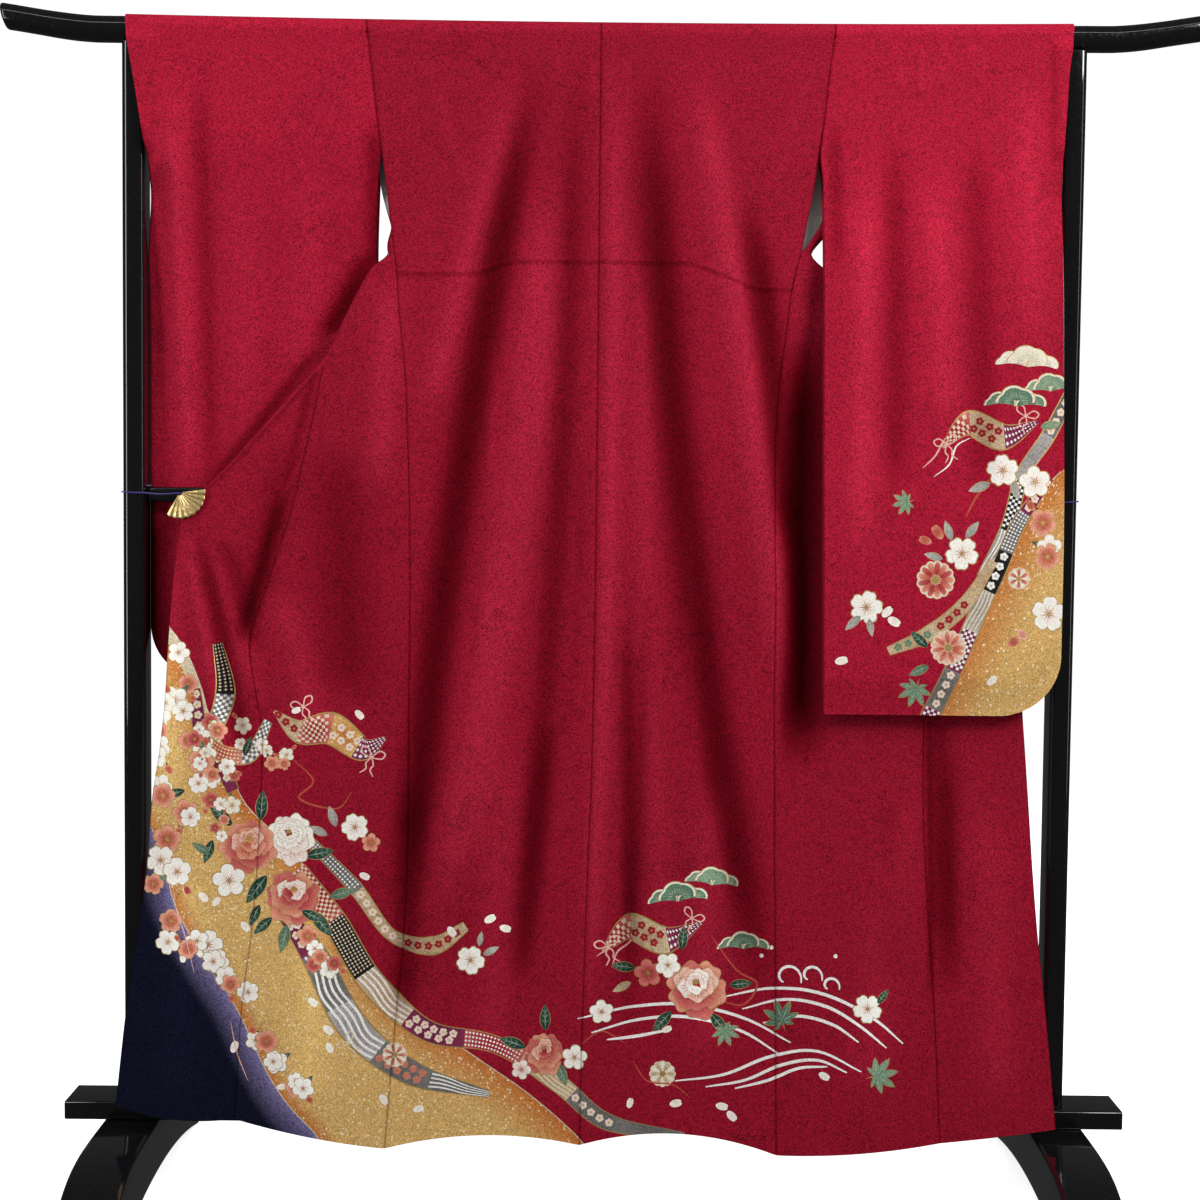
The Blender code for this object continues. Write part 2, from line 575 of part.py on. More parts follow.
def sleeve_wall(side, word, face, columns, levels):
    """Outer points of one wall of a sleeve, from the bar's crest down to the bottom seam."""
    share, bottom = sleeve_outline(side, columns)
    crest = math.copysign(SEAM_GAP / 2 / WRAP, 1 if face == "near" else -1)
    last = math.pi if face == "near" else 0.0
    angles = np.linspace(math.pi / 2 + crest, last, WRAP_STEPS // 2 + 1)
    rows = []
    for k, level in enumerate(np.concatenate([BAR_HEIGHT + WRAP * np.sin(angles), levels])):
        wrapped = k < len(angles)
        z = np.full(len(share), level)
        if not wrapped:
            z = levels[0] + (level - levels[0]) / (levels[-1] - levels[0]) * (bottom - levels[0])
        inner = sleeve_inner(side, z)
        x = inner + (read_table(SLEEVES[side], face + "_outer", z) - inner) * share
        if wrapped:
            y = np.full(len(share), WRAP * math.cos(angles[k]))
        else:
            y = sleeve_depth(side, face, word, x, z, share, bottom)
        z = z + bar_shift(x) * smooth((z - 1.50) / 0.15)
        rows.append(np.stack([side * x, y, z], -1))
    return np.array(rows)


def sleeve_inner(side, z):
    """Distance of the sleeve's inner edge: on the body's side above the armhole's end, and free below it."""
    sewn = read_table(SIDES[side], "seam", z) + SEAM_GAP
    free = smooth((ARMHOLE_END - z) / 0.06)
    return sewn * (1.0 - free) + read_table(SLEEVES[side], "inner", z) * free


def sleeve_depth(side, face, word, x, z, share, bottom):
    """Depth of a sleeve's wall: the walls close on each other at the outer and bottom seams."""
    near = read_table(DEPTHS, "near_" + word, z)
    far = read_table(DEPTHS, "far_" + word, z)
    middle, half = (near + far) / 2, (far - near) / 2
    turned = smooth((x - TURN_START) / TURN_WIDTH) * smooth((TURN_TOP - z) / 0.15) * (side < 0)
    middle = middle - np.maximum(middle - TURNED_DEPTH, 0.0) * turned
    seam = (CLOTH + SEAM_GAP) * (1.0 + 0.25 * turned)
    closed = (1.0 - smooth((1.0 - share) / 0.14)) * smooth((CUFF_END + 0.01 - z) / 0.05)
    low = 1.0 - smooth((z - bottom) / 0.06)
    half = seam + (half - seam) * (1.0 - closed) * (1.0 - low)
    open_part = (1.0 - closed) * (1.0 - low)
    bow = POST_BOW[face] * smooth((x - 0.634) / 0.018) * smooth((z - 1.49) / 0.03)
    if face == "far":
        return middle + half + bow * (side < 0)
    folds = open_part * relief(SLEEVE_FOLDS[side], x, z) * smooth((1.672 - z) / 0.02)
    return middle - half - bow * smooth((1.68 - z) / 0.02) - folds


def collar(edges):
    """The collar band, from one clip up behind the garment, round the neck and down to the other.

    Its sewn edge follows the fronts' own inner edges, and its free edge lies a collar's width further in.
    """
    halves = []
    for side in (-1, 1):
        edge = edges[side]
        tangent = np.gradient(edge[:, [0, 2]], axis=0)
        tangent /= np.linalg.norm(tangent, axis=1, keepdims=True)
        inward = side * np.stack([-tangent[:, 1], tangent[:, 0]], -1)
        turn = smooth((edge[:, 2] - COLLAR_STANDS) / 0.12)[:, None]
        sewn = edge[:, [0, 2]] + inward * SEAM_GAP
        free = sewn + inward * COLLAR_WIDTH * (1.0 - turn)
        free += np.array([-side * 0.032, -0.035]) * turn
        halves.append([(*a, *b, y) for a, b, y in zip(sewn, free, edge[:, 1])])
    top = BACK_EDGE - BAR_SAG - 2 * SEAM_GAP
    stations = np.linspace(-NECK_HALF, NECK_HALF, 5)
    neck = [(x, top, 0.55 * x, top - COLLAR_WIDTH, WRAP - 0.0008) for x in stations]
    t = np.linspace(0.0, 1.0, 4)
    bulge = 0.0015 * np.sin(math.pi * t)
    grid = []
    for xa, za, xb, zb, depth in halves[0] + neck + halves[1][::-1]:
        grid.append(np.stack([xa + (xb - xa) * t, depth + bulge, za + (zb - za) * t], -1))
    return np.array(grid)


def rounded_bar(name, length_axis, low, high, centre, size, corner, colour):
    """A straight rail with rounded long edges, between two stations on its own axis."""
    width, height = size
    outline = []
    for cx, cy, start in ((1, 1, 0), (-1, 1, 90), (-1, -1, 180), (1, -1, 270)):
        for k in range(4):
            angle = math.radians(start + 30 * k)
            outline.append((
                cx * (width / 2 - corner) + corner * math.cos(angle),
                cy * (height / 2 - corner) + corner * math.sin(angle),
            ))
    count = len(outline)
    verts = []
    ends = ((low, RAIL_BEVEL), (low + RAIL_BEVEL, 0.0), (high - RAIL_BEVEL, 0.0), (high, RAIL_BEVEL))
    for station, inset in ends:
        for u, v in outline:
            u = u * (1 - 2 * inset / width)
            v = v * (1 - 2 * inset / height)
            if length_axis == "x":
                verts.append((station, centre[0] + u, centre[1] + v))
            else:
                verts.append((centre[0] + u, centre[1] + v, station))
    faces = [tuple(range(count))[::-1], tuple(range(3 * count, 4 * count))]
    for ring in range(3):
        for k in range(count):
            j = (k + 1) % count
            faces.append((ring * count + k, ring * count + j, (ring + 1) * count + j, (ring + 1) * count + k))
    obj = new_object(name, verts, faces, colour, 0.12)
    fix_facing(obj)
    return obj


def top_bar():
    """Round bar whose ends turn up, cut square at the tips."""
    raised = np.linspace(BAR_BEND, BAR_HALF_LENGTH, 6)
    stations = np.concatenate([-raised[::-1], np.linspace(-BAR_EVEN, BAR_EVEN, 7), raised])
    sides = BAR_SIDES
    verts = []
    for i, x in enumerate(stations):
        scale = 0.90 if i in (0, len(stations) - 1) else 1.0
        for k in range(sides):
            a = 2 * math.pi * k / sides
            z = BAR_HEIGHT + float(bar_shift(x)) + scale * BAR_RADIUS * math.sin(a)
            lean = 0.004 * math.sin(a) * math.copysign(1, x) if abs(x) > 0.80 else 0.0
            verts.append((x + lean, scale * BAR_RADIUS * math.cos(a), z))
    faces = [tuple(range(sides)), tuple(range((len(stations) - 1) * sides, len(stations) * sides))[::-1]]
    for ring in range(len(stations) - 1):
        for k in range(sides):
            j = (k + 1) % sides
            faces.append((ring * sides + k, ring * sides + j, (ring + 1) * sides + j, (ring + 1) * sides + k))
    obj = new_object("top_bar", verts, faces, LACQUER, 0.12)
    fix_facing(obj)
    obj.data.shade_smooth()
    obj.data.set_sharp_from_angle(angle=math.radians(40))
    return obj


def foot(side):
    """A low bow under one end of the beam: its top falls away to both tips and its sole is arched."""
    name = "foot_left" if side < 0 else "foot_right"
    ys = np.linspace(-FOOT_HALF_LENGTH, FOOT_HALF_LENGTH, 25)
    high = BEAM_LOW - SEAM_GAP
    top = high - (high - FOOT_TIP) * np.abs(ys / FOOT_HALF_LENGTH) ** 5
    arch = np.linspace(-FOOT_ARCH_HALF, FOOT_ARCH_HALF, 11)
    low_ys = np.concatenate([[-FOOT_PAD_END], arch, [FOOT_PAD_END]])
    low = FOOT_ARCH * np.clip(1.0 - (low_ys / FOOT_ARCH_HALF) ** 2, 0.0, None)
    outline = list(zip(ys, top)) + list(zip(low_ys[::-1], low[::-1]))
    count = len(outline)
    verts = []
    half, face = FOOT_WIDTH / 2, FOOT_WIDTH / 2 - FOOT_BEVEL
    for x, inset in ((-half, FOOT_BEVEL), (-face, 0.0), (face, 0.0), (half, FOOT_BEVEL)):
        for y, z in outline:
            shrink_y = y - math.copysign(inset, y) * (abs(y) > 0.30)
            shrink_z = z - inset * (z > FOOT_ARCH + 0.002)
            verts.append((side * FOOT_CENTRE + x, shrink_y, shrink_z))
    faces = [tuple(range(count)), tuple(range(3 * count, 4 * count))[::-1]]
    for ring in range(3):
        for k in range(count):
            j = (k + 1) % count
            faces.append((ring * count + k, ring * count + j, (ring + 1) * count + j, (ring + 1) * count + k))
    obj = new_object(name, verts, faces, LACQUER, 0.12)
    fix_facing(obj)
    obj.data.shade_smooth()
    obj.data.set_sharp_from_angle(angle=math.radians(35))
    return obj


def fan_clip(side):
    """A pleated fan plate that spreads inwards and down from its pivot, with ribs raised in turn."""
    name = "fan_clip_left" if side < 0 else "fan_clip_right"
    face = clip_face(side)
    angles = np.radians(np.linspace(FAN_START, FAN_END, 2 * FAN_PLEATS + 1))
    front, back = [], []
    for k, angle in enumerate(angles):
        rib = k % 2
        for radius in FAN_RADII:
            tip = radius + FAN_POINT * rib * (radius == FAN_RADIUS)
            x = FAN_PIVOT[0] - tip * math.cos(angle)
            z = FAN_PIVOT[1] + tip * math.sin(angle)
            ridge = FAN_RIB * rib * min(radius / FAN_RADII[1], 1.0)
            front.append((side * x, face - FAN_PLATE - ridge, z))
            back.append((side * x, face, z))
    obj = new_object(name, front + back, wall_faces(len(angles), len(FAN_RADII)), GOLD, 0.3, 1.0)
    fix_facing(obj)
    return obj


def fold_face(side):
    """Depth of the near face of the cloth's fold, level with the clip."""
    push = read_table(DEPTHS, "push", CLIP_HEIGHT) if side > 0 else 0.0
    return float(read_table(DEPTHS, "back", JAW_LOW) + push)


def clip_face(side):
    """Depth of the plane that the fan's flat side lies on, just in front of the spring strip."""
    return fold_face(side) - JAW_THICK - 2 * SEAM_GAP


def clip_jaw(side):
    """A bent spring strip that holds the cloth's fold: behind the fan, round the edge and back inwards."""
    name = "clip_jaw_left" if side < 0 else "clip_jaw_right"
    near = fold_face(side) - SEAM_GAP
    far = near + JAW_ROOM
    outline = [
        (JAW_INNER, near - JAW_THICK), (JAW_OUTER, near - JAW_THICK),
        (JAW_OUTER, far + JAW_THICK), (JAW_INNER, far + JAW_THICK),
        (JAW_INNER, far), (JAW_OUTER - JAW_THICK, far), (JAW_OUTER - JAW_THICK, near), (JAW_INNER, near),
    ]
    count = len(outline)
    verts = [(side * x, y, z) for z in (JAW_LOW, JAW_LOW + JAW_WIDTH) for x, y in outline]
    faces = [tuple(range(count)), tuple(range(count, 2 * count))[::-1]]
    faces += [(k, (k + 1) % count, (k + 1) % count + count, k + count) for k in range(count)]
    obj = new_object(name, verts, faces, GOLD, 0.3, 1.0)
    fix_facing(obj)
    return obj


def cord(side):
    """Twisted cord from behind the fan's pivot to the post, round it and back over the crossbar."""
    name = "cord_left" if side < 0 else "cord_right"
    front, back = -POST_DEPTH / 2 - CORD_CLEAR, POST_DEPTH / 2 + CORD_CLEAR
    outer, inner = POST_OUTER + CORD_CLEAR, POST_INNER - CORD_CLEAR
    level = CORD_LEVEL
    tied = clip_face(side) + SEAM_GAP + CORD_RADIUS
    resting = CROSSBAR_HIGH + CORD_CLEAR + 0.0002
    route = [
        (0.5915, tied, level - 0.002),
        (0.6030, tied + 0.0015, level),
        (0.6300, tied * 0.72 + front * 0.28, level - CORD_SAG),
        (inner + 0.003, front - 0.0022, level),
        ((inner + outer) / 2, front - 0.0008, level),
        (outer - 0.004, front, level + 0.001),
        (outer, front + 0.006, level + 0.001),
        (outer, back - 0.006, level + 0.002),
        (outer - 0.005, back, level + 0.003),
        (inner + 0.006, back, level + 0.008),
        (inner, back - 0.006, resting),
        (inner, front + 0.009, resting),
    ]
    points = [(side * x, y, z) for x, y, z in smooth_route(route, 2)]
    curve = bpy.data.curves.new(name, "CURVE")
    curve.dimensions = "3D"
    spline = curve.splines.new("POLY")
    spline.points.add(len(points) - 1)
    for place, point in zip(spline.points, points):
        place.co = (*point, 1.0)
    curve.bevel_depth = CORD_RADIUS
    curve.bevel_resolution = 2
    curve.use_fill_caps = True
    obj = bpy.data.objects.new(name, curve)
    bpy.context.collection.objects.link(obj)
    curve.materials.append(new_material(name, VIOLET, 0.7, 0.0))
    return obj


def smooth_route(route, steps):
    """Points along a smooth curve through the route's own points."""
    p = [np.array(point) for point in route]
    p = [2 * p[0] - p[1]] + p + [2 * p[-1] - p[-2]]
    points = []
    for i in range(1, len(p) - 2):
        for k in range(steps):
            t = k / steps
            points.append(0.5 * (
                2 * p[i] + (p[i + 1] - p[i - 1]) * t
                + (2 * p[i - 1] - 5 * p[i] + 4 * p[i + 1] - p[i + 2]) * t * t
                + (3 * p[i] - p[i - 1] - 3 * p[i + 1] + p[i + 2]) * t ** 3
            ))
    points.append(p[-2])
    return [tuple(point) for point in points]


def back_walls(side, word):
    """One back length."""
    points = back_panel(side)
    normal = facing(points, (0.0, 1.0, 0.0))
    for column in (0, -1):
        normal[:, column] = squared(normal[:, column], 0)
    cloth_wall("back_" + word, points, normal, CRIMSON)


def front_walls(side, word):
    """One front length and its overlap panel, whose walls share the normals of their seam.

    Returns the points of their inner edge from the clip upwards, which the collar is sewn to.
    """
    levels = panel_levels(BACK_EDGE - SEAM_GAP)
    front = front_grid(side, levels, "front", FRONT_COLUMNS)
    okumi = front_grid(side, panel_levels(OKUMI_TOP), "okumi", OKUMI_COLUMNS)
    front_normal = facing(front, (0.0, 1.0, 0.0))
    okumi_normal = facing(okumi, (0.0, 1.0, 0.0))
    joined = np.array([level <= ARMPIT or level >= ARMHOLE_END for level in levels])
    front_normal[joined, 0] = squared(front_normal[joined, 0], 0)
    count = len(okumi)
    shared = front_normal[-count:, -1] + okumi_normal[:, 0]
    shared /= np.linalg.norm(shared, axis=-1, keepdims=True)
    front_normal[-count:, -1] = shared
    okumi_normal[:, 0] = shared
    cloth_wall("front_" + word, front, front_normal, CRIMSON)
    cloth_wall("okumi_" + word, okumi, okumi_normal, CRIMSON)
    above = [k for k, level in enumerate(levels) if OKUMI_TOP < level < 1.64]
    beside = okumi[:, -1][okumi[:, -1, 2] > COLLAR_END]
    return np.concatenate([beside[::-1], front[above, -1][::-1]])


def sleeve_walls(side, word):
    """Both walls of one sleeve."""
    for face, columns, levels in (("near", NEAR_COLUMNS, NEAR_LEVELS), ("far", FAR_COLUMNS, FAR_LEVELS)):
        points = sleeve_wall(side, word, face, columns, levels)
        normal = facing(points, (0.0, 0.0, 1.0))
        normal[0] = squared(normal[0], 1)
        sewn = points[:, 0, 2] >= ARMHOLE_END - 0.001
        normal[sewn, 0] = squared(normal[sewn, 0], 0)
        cloth_wall(f"sleeve_{face}_{word}", points, normal, CRIMSON)


def build():
    """Make every piece of the garment and of its stand."""
    for obj in list(bpy.data.objects):
        bpy.data.objects.remove(obj, do_unlink=True)
    top_bar()
    edges = {}
    for side, word in ((-1, "left"), (1, "right")):
        centre = side * (POST_INNER + POST_WIDTH / 2)
        low, high = BEAM_HIGH + SEAM_GAP, BAR_HEIGHT - BAR_RADIUS - 2 * SEAM_GAP
        section = (POST_WIDTH, POST_DEPTH)
        rounded_bar("post_" + word, "z", low, high, (centre, 0.0), section, POST_CORNER, LACQUER)
        foot(side)
        fan_clip(side)
        clip_jaw(side)
        cord(side)
        back_walls(side, word)
        edges[side] = front_walls(side, word)
        sleeve_walls(side, word)
    middle = ((CROSSBAR_LOW + CROSSBAR_HIGH) / 2, CROSSBAR_HIGH - CROSSBAR_LOW)
    reach = POST_INNER - SEAM_GAP
    rounded_bar("crossbar", "x", -reach, reach, (0.0, middle[0]), (CROSSBAR_DEPTH, middle[1]), 0.005, LACQUER)
    height = (BEAM_LOW + BEAM_HIGH) / 2
    size = (BEAM_DEPTH, BEAM_HIGH - BEAM_LOW)
    rounded_bar("base_beam", "x", -BEAM_HALF_LENGTH, BEAM_HALF_LENGTH, (0.0, height), size, 0.003, LACQUER)
    band = collar(edges)
    cloth_wall("collar", band, facing(band, (0.0, 1.0, 0.0)), CRIMSON, COLLAR_THICK)


build()
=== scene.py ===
"""Looks of a furisode kimono that hangs over its black lacquered stand, its back turned to the viewer.

Every sewn piece of the garment is a thin shell worked out on the same drape as its solid. Its dyed design is
cut into the shell itself: the outlines of the motifs are laid out flat, triangulated together with the cloth
and carried to their place in the folds, and their colours are kept on the corners of the faces. These colours
also carry painted light: painted shade in the folds' valleys and cast shadows, painted highlight on ridges.
"""
import logging
import math
from dataclasses import dataclass
from enum import Enum
from typing import Callable, Dict, List, Optional, Sequence, Tuple

import bmesh
import bpy
import numpy as np
from mathutils import Matrix, Vector
from mathutils.geometry import delaunay_2d_cdt


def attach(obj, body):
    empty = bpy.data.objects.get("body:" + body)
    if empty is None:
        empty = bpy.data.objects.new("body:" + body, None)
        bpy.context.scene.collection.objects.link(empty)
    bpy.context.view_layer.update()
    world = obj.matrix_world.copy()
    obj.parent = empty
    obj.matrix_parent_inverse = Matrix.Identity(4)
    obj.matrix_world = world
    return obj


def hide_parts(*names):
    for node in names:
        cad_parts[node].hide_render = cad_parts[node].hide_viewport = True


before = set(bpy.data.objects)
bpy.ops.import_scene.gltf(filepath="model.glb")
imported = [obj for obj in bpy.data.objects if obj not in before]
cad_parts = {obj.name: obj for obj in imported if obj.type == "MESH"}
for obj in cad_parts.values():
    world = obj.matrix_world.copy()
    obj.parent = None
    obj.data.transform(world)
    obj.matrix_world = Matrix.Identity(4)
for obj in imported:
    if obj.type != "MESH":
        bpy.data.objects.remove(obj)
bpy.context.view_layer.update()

LOG = logging.getLogger("furisode")
Array = np.ndarray
Socket, Material = bpy.types.NodeSocket, bpy.types.Material
Pair, Rows = Tuple[float, float], Sequence[Sequence[float]]
Colour = Tuple[float, float, float]
Fade = Callable[[Array], Array]


# Shared helpers


class Side(Enum):
    """The viewer's left and right."""

    LEFT = -1
    RIGHT = 1

    @property
    def word(self) -> str:
        """The word that the frame's node names end in."""
        return self.name.lower()


def ease(t: Array) -> Array:
    """Ease from 0 to 1 as t goes from 0 to 1, by 3t^2 - 2t^3."""
    t = np.clip(t, 0.0, 1.0)
    return t * t * (3.0 - 2.0 * t)


def unit(values: Array) -> Array:
    """Vectors divided by their lengths."""
    return values / np.maximum(np.linalg.norm(values, axis=-1, keepdims=True), 1e-12)


def vectors(points: Array) -> List[Vector]:
    """Blender's vectors for rows of points."""
    return [Vector(p) for p in points.tolist()]


def new_piece(name: str, points: Array, faces: Sequence, smooth: bool = True) -> bpy.types.Object:
    """Make a mesh object from points and faces, at the origin.

    Args:
        name: the piece's name.
        points: its points, in metres.
        faces: its faces, as rows of point numbers.
        smooth: whether its faces are shaded smooth.

    Returns:
        The new object.
    """
    mesh = bpy.data.meshes.new(name)
    rows = faces.tolist() if isinstance(faces, np.ndarray) else faces
    mesh.from_pydata(np.asarray(points, float).tolist(), [], rows)
    mesh.update()
    piece = bpy.data.objects.new(name, mesh)
    bpy.context.collection.objects.link(piece)
    mesh.polygons.foreach_set("use_smooth", [smooth] * len(mesh.polygons))
    return piece


def grid_faces(rows: int, columns: int, closed: bool = False) -> Array:
    """Quads of a grid of points, whose rows may close on themselves."""
    index = np.arange(rows * columns).reshape(rows, columns)
    if closed:
        index = np.hstack([index, index[:, :1]])
    corners = index[:-1, :-1], index[:-1, 1:], index[1:, 1:], index[1:, :-1]
    return np.stack(corners, -1).reshape(-1, 4)


def grid_rim(rows: int, columns: int) -> Array:
    """Numbers of the points round the edge of a grid, in order."""
    index = np.arange(rows * columns).reshape(rows, columns)
    return np.concatenate([index[0], index[1:, -1], index[-1, -2::-1], index[-2:0:-1, 0]])


def tube(rings: Array, fans: bool = True) -> Tuple[Array, List[List[int]]]:
    """Points and faces of a stack of rings, closed at its ends by fans round their middles or by flat faces."""
    rows, columns = rings.shape[:2]
    points, faces = rings.reshape(-1, 3), grid_faces(rows, columns, True).tolist()
    first, last = list(range(columns)), list(range((rows - 1) * columns, rows * columns))
    if not fans:
        return points, faces + [first[::-1], last]
    faces += [[first[(k + 1) % columns], first[k], len(points)] for k in range(columns)]
    faces += [[last[k], last[(k + 1) % columns], len(points) + 1] for k in range(columns)]
    return np.vstack([points, rings[[0, -1]].mean(1)]), faces


def closed_piece(name: str, points: Array, faces: Sequence, sharp: Optional[float] = None) -> bpy.types.Object:
    """Make a closed piece, faces outwards, smooth but where they meet at more than an angle in degrees."""
    piece = new_piece(name, points, faces)
    mesh = bmesh.new()
    mesh.from_mesh(piece.data)
    bmesh.ops.recalc_face_normals(mesh, faces=mesh.faces)
    if mesh.calc_volume(signed=True) < 0.0:
        bmesh.ops.reverse_faces(mesh, faces=mesh.faces)
    mesh.to_mesh(piece.data)
    mesh.free()
    if sharp is not None:
        piece.data.set_sharp_from_angle(angle=math.radians(sharp))
    return piece


def ring(count: int) -> Array:
    """Angles spaced evenly round a circle."""
    return np.linspace(0.0, 2 * math.pi, count, endpoint=False)


def polar(angle: Array, radius: Array = 1.0) -> Array:
    """Points at angles and distances from the origin."""
    return np.stack([radius * np.cos(angle), radius * np.sin(angle)], -1)


def spin(angle: float) -> Array:
    """Matrix that turns rows of points by an angle, multiplied to their right."""
    return np.array([[math.cos(angle), math.sin(angle)], [-math.sin(angle), math.cos(angle)]])


def travelled(path: Array) -> Array:
    """Length gone along a path at each of its points."""
    return np.concatenate([[0.0], np.cumsum(np.linalg.norm(np.diff(path, axis=0), axis=1))])


def sideways(path: Array) -> Array:
    """Unit vectors to the left of a flat path at each of its points."""
    return unit(np.gradient(path, axis=0))[:, ::-1] * (-1.0, 1.0)


def through(points: Rows, count: int) -> Array:
    """Points spaced evenly by their share of a smooth (Catmull-Rom) curve through the given ones."""
    p = np.asarray(points, float)
    p = np.vstack([2 * p[0] - p[1], p, 2 * p[-1] - p[-2]])
    t = np.linspace(0.0, len(p) - 3.0, count)
    i = np.minimum(t.astype(int), len(p) - 4)
    t = (t - i)[:, None]
    a, b, c, d = p[i], p[i + 1], p[i + 2], p[i + 3]
    return 0.5 * (2 * b + (c - a) * t + (2 * a - 5 * b + 4 * c - d) * t**2 + (3 * b - a - 3 * c + d) * t**3)


class Table:
    """Named columns of values over height, read on a curve that never overshoots its rows."""

    def __init__(self, columns: str, *rows: Sequence[float]) -> None:
        """Keep the rows, given from the top down, and work out the slope of each column at each row."""
        self.value = np.array(rows, float)[::-1]
        self.column = {name: k + 1 for k, name in enumerate(columns.split())}
        rise = np.diff(self.value, axis=0) / np.diff(self.value[:, :1], axis=0)
        both = rise[1:] * rise[:-1]
        total = np.where(both > 0, rise[1:] + rise[:-1], 1.0)
        self.slope = np.vstack([rise[:1], np.where(both > 0, 2.0 * both / total, 0.0), rise[-1:]])

    def at(self, name: str, z: Array) -> Array:
        """Value of a column at heights z, on a monotone cubic between the rows."""
        column = self.column[name]
        level, value, slope = self.value[:, 0], self.value[:, column], self.slope[:, column]
        z = np.clip(np.asarray(z, float), level[0], level[-1])
        i = np.clip(np.searchsorted(level, z) - 1, 0, len(level) - 2)
        step = level[i + 1] - level[i]
        t = (z - level[i]) / step
        start = value[i] * (1 + 2 * t) * (1 - t) ** 2 + slope[i] * step * t * (1 - t) ** 2
        return start + value[i + 1] * t * t * (3 - 2 * t) + slope[i + 1] * step * t * t * (t - 1)


# The drape of the cloth, on the same named sizes as the solids

CLOTH = 0.002
SEAM_GAP = 0.0003
BAR_RADIUS, BAR_HALF_LENGTH, BAR_HEIGHT = 0.019, 0.865, 1.679
BAR_SAG, BAR_LIFT, BAR_BEND = 0.005, 0.022, 0.72
BAR_TURN = BAR_HALF_LENGTH - 0.66  # length over which the bar's ends turn up
POST_OUTER, POST_WIDTH, POST_DEPTH, POST_CORNER = 0.691, 0.032, 0.05, 0.008
WRAP = BAR_RADIUS + 0.0009 + CLOTH
BACK_EDGE, ARMHOLE_END, ARMPIT, CUFF_END, KENSAKI = 1.652, 1.527, 1.366, 1.48, 1.36
LEVEL_LOW, HEM_REACH = 0.1, 0.5  # the nominal hem, and the height up to which rows follow its curve
SAG_START, SAG_RISE = 1.5, 0.15
EDGE_RISE, LOOSE_RISE = 0.074, 0.14
LOOSE = {-1: 0.01, 1: 0.024}
LOOSE_FROM = {-1: 1.398, 1: 1.366}
OPENS = {-1: ARMPIT, 1: 1.384}  # where the front's fold opens out
SLEEVE_WIDTH, SLEEVE_CORNER = 0.335, 0.088
SLEEVE_TOP_LEVEL, SLEEVE_LOW_LEVEL = 1.655, 0.735
SLEEVE_BOTTOM = {-1: 0.735, 1: 0.709}
POST_BOW = {"near": 0.009, "far": 0.0095}
TURN_START, TURN_WIDTH = 0.6195, 0.0345  # the left sleeve's outer edge turns forward beside the post
TURNED_DEPTH, TURN_TOP = 0.016, 1.4
TUCK_HEIGHT, TUCK_DEPTH = 1.349, 0.0014
FOLD_SHADE, RIDGE_HIGHLIGHT_SHARE = 105.0, 0.45  # painted shade per metre of a valley's depth, and the share of it painted as highlight on a ridge
SEAM_TONE, SEAM_WIDTH = 0.6, 0.0013
# Painted shade just under the waist tuck's step: its strength and width
TUCK_SHADE, TUCK_SHADE_WIDTH = 0.27, 0.0017
# Least and most of the painted light and shade that the dye is multiplied by
PAINTED_LIGHT_RANGE = (0.1, 1.35)
# Shares of a front's columns before its fold, round it and behind it
AHEAD, AROUND, BEHIND = 0.36, 0.28, 0.36
TURNED = 0.64
# Painted shadow beside edges that lie on other cloth, and painted highlight where the strength is positive:
# places as for the folds, width and strength
BODY_SHADES = (
    (-0.408, 1.2, -0.452, 1.02, 0.0, 0.007, -0.45), (-0.45, 1.03, -0.512, 0.8, 0.0, 0.011, -1.1),
    (-0.35, 1.32, -0.42, 1.2, 0.0, 0.01, 0.2), (-0.42, 1.2, -0.56, 1.04, 0.0, 0.01, 0.16),
    (0.493, 0.68, 0.502, 0.33, 0.0, 0.018, 0.36), (0.476, 0.74, 0.482, 0.28, 0.0, 0.005, -0.55))
# Painted shadows that the front and the back cast on each sleeve, in the same columns
SLEEVE_SHADES = {
    -1: (
        (-0.332, 1.37, -0.4, 1.24, 0.0, 0.017, -1.0), (-0.402, 1.24, -0.575, 1.02, 0.0, 0.011, -0.6),
        (-0.327, 1.56, -0.33, 1.34, 0.0, 0.012, -0.6)),
    1: ((0.33, 1.56, 0.334, 1.34, 0.0, 0.01, -0.4),)}

DEPTHS = Table(
    'back front near_left far_left near_right far_right push radius',
    (1.66, -0.0219, 0.0219, -0.0219, 0.0219, -0.0219, 0.0219, 0.0, 0.01),
    (1.6, -0.024, 0.0195, -0.024, 0.0195, -0.024, 0.017, 0.0, 0.01),
    (1.527, -0.027, 0.009, -0.027, 0.009, -0.029, 0.006, 0.0, 0.01),
    (1.44, -0.0315, -0.006, -0.019, 0.011, -0.043, -0.02, 0.0, 0.01),
    (1.366, -0.036, -0.016, -0.008, 0.016, -0.055, -0.039, 0.0, 0.01),
    (1.3, -0.041, -0.021, 0.0, 0.023, -0.062, -0.046, 0.01, 0.01),
    (1.2, -0.048, -0.03, 0.008, 0.03, -0.067, -0.05, 0.012, 0.009),
    (1.1, -0.055, -0.039, 0.014, 0.034, -0.073, -0.056, 0.013, 0.007),
    (1.0, -0.062, -0.056, 0.017, 0.036, -0.081, -0.063, 0.014, 0.003),
    (0.85, -0.072, -0.066, 0.018, 0.035, -0.089, -0.071, 0.014, 0.003),
    (0.7, -0.081, -0.075, 0.018, 0.032, -0.095, -0.079, 0.014, 0.003),
    (0.4, -0.098, -0.092, 0.018, 0.032, -0.095, -0.079, 0.004, 0.003),
    (0.07, -0.113, -0.107, 0.018, 0.032, -0.095, -0.079, 0.0, 0.003))
